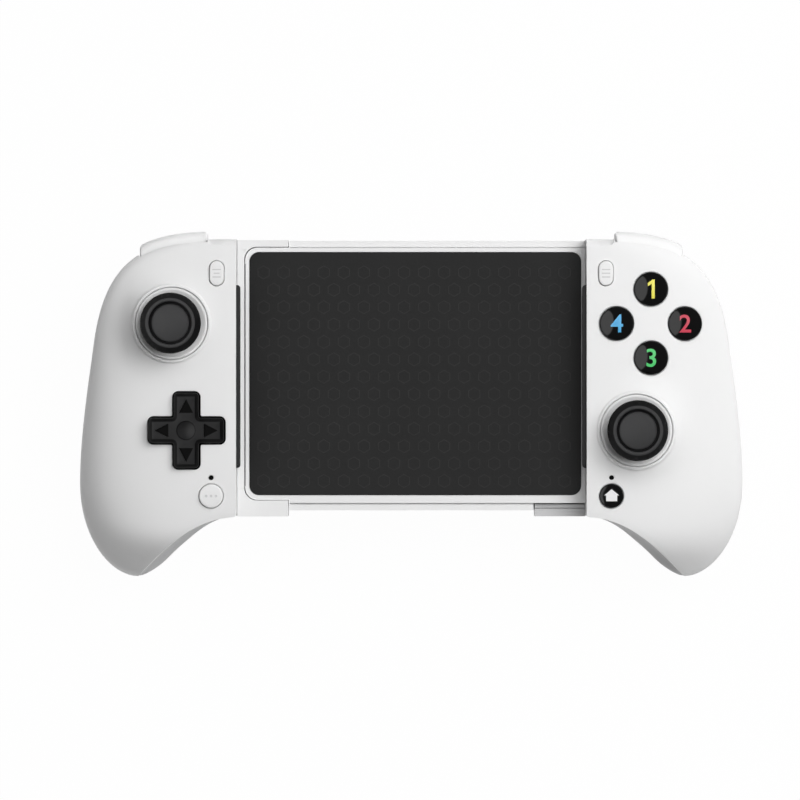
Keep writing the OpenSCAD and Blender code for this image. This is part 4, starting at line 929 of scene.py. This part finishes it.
for name, side in (("home", "right"), ("profile", "left")):
    z = face_at(ROUND) + SMALL_RISE
    look, slot_name = (GLOSS, "gloss_black") if name == "home" else (WHITE, "pale_plastic")
    v, f = capped(lambda d: circle(ROUND, ROUND_R - d, 64), z, SMALL_DEEP, ROUND_CROWN, SMALL_EDGE)
    obj = add_object(name + "_key", v, f, look, flip=side == "left", sharp=60)
    finish_piece(obj, name + "_button", slot_name, name + "_button")
    if name == "profile":
        for k in range(3):
            profile = [(0.42, z), (0.42, z + 0.17), (0, z + 0.17)]
            v, f = lathe((ROUND[0] + 1.5 * (k - 1), ROUND[1]), profile, n=24)
            dot = add_object("profile_dot_%d" % k, v, f, PRINT, flip=True, sharp=40)
            finish_piece(dot, "profile_button", "pale_plastic")
    else:
        v, f = prism(HOUSE, z + 0.05, z + 0.17)
        finish_piece(add_object("home_mark", v, f, WHITE, sharp=30), "home_button", "gloss_black")


# Bumpers
END_R, UPRIGHT_OVER, UPRIGHT = 1.2, 6.0, np.array([0, 1.12])
BUMPER_H, BUMPER_PROUD, BUMPER_DROP = 9.5, 2.6, 0.5


def bumper(side):
    flip = side == "left"
    xs = bez(SHOULDER, FINE)[:, 0]
    t0, t1 = np.interp([BUMPER_IN, BUMPER_OUT], xs, FINE)
    section = rounded([(-6, 0), (-6, -BUMPER_H), (1.4, -BUMPER_H), (2.25, -8.6), (BUMPER_PROUD, -5.2),
                       (2.35, -1.5), (1.6, -0.35), (0.2, 0), (-6, 0)], 0.8, 5)[:-1]
    rings = []
    ends = [(END_R * (1 - math.cos(a)), END_R * (1 - math.sin(a))) for a in np.radians([0, 20, 40, 60, 90])]
    stops = [(t0, e, s) for e, s in ends] + [(t, None, 0) for t in np.linspace(t0, t1, 42)[1:-1]]
    stops += [(t1, e, s) for e, s in reversed(ends)]
    for k, (t, e, shrink) in enumerate(stops):
        p = bez(SHOULDER, t)
        n = bez_normal(SHOULDER, t)
        along = np.array([n[1], -n[0]]) if k < len(stops) / 2 else -np.array([n[1], -n[0]])
        p = p + (along * e if e is not None else 0)
        upright = float(ease(1 - (BUMPER_OUT - p[0]) / UPRIGHT_OVER))
        n = n + (UPRIGHT - n) * upright
        top = float(smooth_line(PART_LINE, p[1])) - BUMPER_DROP
        ring = []
        for q, h in section:
            q2 = min(q, BUMPER_PROUD - shrink) if q > 0 else q
            h2 = max(min(h, -shrink), -BUMPER_H + shrink)
            ring.append((p[0] + q2 * n[0], p[1] + q2 * n[1], top + h2))
        rings.append(ring)
    v, f = loft(rings, True, True)
    obj = add_object(side + "_bumper_key", v, f, WHITE, flip=flip, sharp=45)
    turn_outwards(obj)
    finish_piece(obj, side + "_bumper", "pale_plastic", side + "_bumper")


for side in SIDES:
    bumper(side)


# Triggers: a curved finger rest, cut to the shoulder's line and rounded all round
HINGE, HUB_R, PIN_R = (40.0, 24.0), 2.6, 1.25
TRIGGER_IN, TRIGGER_OUT, TRIGGER_PROUD, TRIGGER_ROUND = 64.6, 82.2, 1.6, 0.8
SPRING_IN, SPRING_L, SPRING_R = 71.6, 4.1, 2.3
LOOP_POINTS, SOFTENINGS, END_INSET, BORE_GAP = 240, 14, 0.8, 0.1


def trigger_loop(limit):
    """Closed side profile (y, z) up to a forward limit, evenly spaced and softened at its corners."""
    hy, hz = HINGE
    finger = np.array([[hy + 12, hz + HUB_R], [hy + 14.5, hz - 7], [hy + 6.5, hz - 15], [hy + 10.4, 1.0]])
    finger = bez(finger, np.linspace(0, 1, 60))
    palm = np.array([[hy + 6, 0.6], [hy + 1, hz - 17], [hy - 2, hz - 11], [hy - HUB_R, hz - 1]])
    palm = bez(palm, np.linspace(0, 1, 50))
    turn = np.radians(np.linspace(180, 90, 12))
    hub = np.stack([hy + HUB_R * np.cos(turn), hz + HUB_R * np.sin(turn)], -1)
    loop = np.concatenate([palm, hub, finger, palm[:1]])
    loop[:, 0] = np.minimum(loop[:, 0], limit)
    along = np.concatenate([[0], np.cumsum(np.hypot(*np.diff(loop, axis=0).T))])
    at = np.linspace(0, along[-1], LOOP_POINTS + 1)[:-1]
    even = np.stack([np.interp(at, along, loop[:, 0]), np.interp(at, along, loop[:, 1])], -1)
    for _ in range(SOFTENINGS):
        even = (np.roll(even, 1, 0) + 2 * even + np.roll(even, -1, 0)) / 4
    return even[::-1]


def trigger(side):
    flip = side == "left"
    t = np.linspace(0, 1, 400)
    front = bez(SHOULDER, t) + TRIGGER_PROUD * bez_normal(SHOULDER, t)
    round_in = TRIGGER_ROUND * (1 - np.cos(np.radians(np.linspace(0, 90, 8))))
    xs = np.concatenate([TRIGGER_IN + round_in, np.linspace(TRIGGER_IN, TRIGGER_OUT, 14)[2:-2],
                         TRIGGER_OUT - round_in[::-1]])
    rings = []
    for x in xs:
        d = min(x - TRIGGER_IN, TRIGGER_OUT - x)
        inset = TRIGGER_ROUND - math.sqrt(max(0, TRIGGER_ROUND ** 2 - max(0, TRIGGER_ROUND - d) ** 2))
        loop = trigger_loop(np.interp(x, front[:, 0], front[:, 1]))
        step = np.roll(loop, -1, 0) - np.roll(loop, 1, 0)
        step /= np.hypot(*step.T)[:, None]
        loop = loop + END_INSET * inset * np.stack([-step[:, 1], step[:, 0]], -1)
        rings.append([(x, p[0], p[1]) for p in loop])
    verts, faces = loft(rings, True, True)
    obj = add_object(side + "_trigger_blade", verts, faces, BLACK, flip=flip)
    bore = circle(HINGE, PIN_R + BORE_GAP, 32)
    bore = [[(x, y, z) for y, z in bore] for x in (TRIGGER_IN - 1, TRIGGER_OUT + 1)]
    hy, hz = HINGE
    slot = rectangle(SPRING_IN, hy - HUB_R - 1, SPRING_IN + SPRING_L, hy + 6)
    tools = [loft(bore, True, True), prism(slot, hz - SPRING_R - 0.9, hz + 5)]
    cut(obj, [add_object("%s_trigger_tool_%d" % (side, k), v, f, BLACK, flip=flip)
              for k, (v, f) in enumerate(tools)])
    finish_piece(obj, side + "_trigger", "black_plastic", side + "_trigger")


for side in SIDES:
    trigger(side)


# Edges of the plain moulded pieces are softened
def soften(node, width):
    obj = frame["nodes"][node]
    weld = obj.modifiers.new("weld", "WELD")
    weld.merge_threshold = 1e-6
    bevel = obj.modifiers.new("soft_edges", "BEVEL")
    bevel.width = width * MM
    bevel.segments = 3
    bevel.limit_method = "ANGLE"
    bevel.angle_limit = math.radians(40)
    bevel.harden_normals = True


for node in ("bridge_tray", "bridge_back_plate", "bridge_mat"):
    soften(node, 0.1)
soften("left_bracket", 0.45)
for node in ("right_phone_pad", "left_phone_pad"):
    soften(node, 0.4)
for node in ("right_back_button", "left_back_button"):
    soften(node, 0.6)


# Raised staggered rings on the mat
RING_PITCH, RING_MARGIN, RING_END, RING_OUT, RING_IN, RING_EDGE = 6.2, 4.4, 3.5, 2.2, 1.85, 0.05


def mat_rings():
    low, high = [np.array(c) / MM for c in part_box("bridge_mat")]
    top = high[2]
    profile = [(RING_OUT, top - RING_EDGE), (RING_OUT - RING_EDGE, top + RING_EDGE),
               (RING_IN + RING_EDGE, top + RING_EDGE), (RING_IN, top - RING_EDGE)]
    verts, faces = [], []
    j = 0
    y = low[1] + RING_MARGIN
    while y < high[1] - RING_END:
        x = low[0] + RING_MARGIN + (RING_PITCH / 2 if j % 2 else 0)
        while x < high[0] - RING_END:
            base = len(verts)
            for r, z in profile:
                for k in range(6):
                    a = math.radians(60 * k + 30)
                    verts.append((x + r * math.cos(a), y + r * math.sin(a), z))
            for i in range(3):
                for k in range(6):
                    m = (k + 1) % 6
                    here, there = base + i * 6, base + (i + 1) * 6
                    faces.append((here + k, here + m, there + m, there + k))
            x += RING_PITCH
        y += RING_PITCH * math.sqrt(3) / 2
        j += 1
    obj = add_object("mat_rings", verts, faces, MAT_RAISED, sharp=20)
    finish_piece(obj, "right_half", "rubber")


frame["nodes"]["bridge_mat"].data.materials[0] = MAT
mat_rings()


# Stage, light and camera
FLOOR_HALF, FLOOR_Z, FLOOR_GLOW = 3.0, -0.0003, 0.98


def area(name, place, target, size, energy, card=False):
    """Square lamp that doesn't show in the glossy pieces, or a round card that only shows in them."""
    data = bpy.data.lights.new(name, "AREA")
    data.shape = "DISK" if card else "SQUARE"
    data.size = size
    data.energy = energy
    lamp = bpy.data.objects.new(name, data)
    lamp.visible_glossy = card
    lamp.visible_diffuse = not card
    lamp.visible_camera = False
    lamp.location = place
    lamp.rotation_euler = (Vector(target) - Vector(place)).to_track_quat("-Z", "Y").to_euler()
    bpy.context.scene.collection.objects.link(lamp)


def studio_floor():
    mat = bpy.data.materials.new("studio_floor")
    mat.use_nodes = True
    nt = mat.node_tree
    nt.nodes.clear()
    out = nt.nodes.new("ShaderNodeOutputMaterial")
    diffuse = nt.nodes.new("ShaderNodeBsdfDiffuse")
    diffuse.inputs["Color"].default_value = (0.8, 0.8, 0.8, 1)
    glow = nt.nodes.new("ShaderNodeEmission")
    glow.inputs["Strength"].default_value = 1.0
    path = nt.nodes.new("ShaderNodeLightPath")
    seen = nt.nodes.new("ShaderNodeMath")
    seen.operation = "MAXIMUM"
    nt.links.new(path.outputs["Is Camera Ray"], seen.inputs[0])
    nt.links.new(path.outputs["Is Glossy Ray"], seen.inputs[1])
    also = nt.nodes.new("ShaderNodeMath")
    also.operation = "MAXIMUM"
    nt.links.new(seen.outputs[0], also.inputs[0])
    nt.links.new(path.outputs["Is Transmission Ray"], also.inputs[1])
    part = nt.nodes.new("ShaderNodeMath")
    part.operation = "MULTIPLY"
    part.inputs[1].default_value = FLOOR_GLOW
    nt.links.new(also.outputs[0], part.inputs[0])
    mix = nt.nodes.new("ShaderNodeMixShader")
    nt.links.new(part.outputs[0], mix.inputs["Fac"])
    nt.links.new(diffuse.outputs[0], mix.inputs[1])
    nt.links.new(glow.outputs[0], mix.inputs[2])
    nt.links.new(mix.outputs[0], out.inputs["Surface"])
    mesh = bpy.data.meshes.new("floor")
    corners = [(-1, -1), (1, -1), (1, 1), (-1, 1)]
    mesh.from_pydata([(x * FLOOR_HALF, y * FLOOR_HALF, FLOOR_Z) for x, y in corners], [], [(0, 1, 2, 3)])
    mesh.materials.append(mat)
    floor = bpy.data.objects.new("floor", mesh)
    bpy.context.scene.collection.objects.link(floor)


studio_floor()
area("key", (0.8, 0.55, 0.7), (0.05, 0, 0.03), 0.8, 2)
area("side", (0.5, 0.25, 1.0), (0.05, 0, 0.03), 0.8, 7)
area("overhead", (0.35, 0.45, 1.0), (0, 0, 0.03), 1.0, 5.5)
area("left_card", (-1.95, 0.2, 1.5), (-1.95, 0.2, 0), 3.6, 60, card=True)

world = bpy.data.worlds.new("studio")
world.use_nodes = True
world.node_tree.nodes["Background"].inputs["Color"].default_value = (1, 1, 1, 1)
world.node_tree.nodes["Background"].inputs["Strength"].default_value = 0.16

scene = bpy.context.scene
scene.world = world
camera_data = bpy.data.cameras.new("camera")
camera_data.lens = 200
camera_data.sensor_width = 36
camera_data.clip_end = 10
camera = bpy.data.objects.new("camera", camera_data)
VIEW_W, VIEW_MID, VIEW_Z = 246.7, (-3.48, 1.54), 36.0
VIEW_AWAY = VIEW_W * camera_data.lens / camera_data.sensor_width
camera.location = (VIEW_MID[0] * MM, VIEW_MID[1] * MM, (VIEW_Z + VIEW_AWAY) * MM)
scene.collection.objects.link(camera)
scene.camera = camera
scene.render.engine = "CYCLES"
scene.cycles.samples = 192
scene.cycles.use_denoising = True
scene.render.resolution_x = 800
scene.render.resolution_y = 800
scene.render.resolution_percentage = 100
scene.view_settings.view_transform = "Standard"
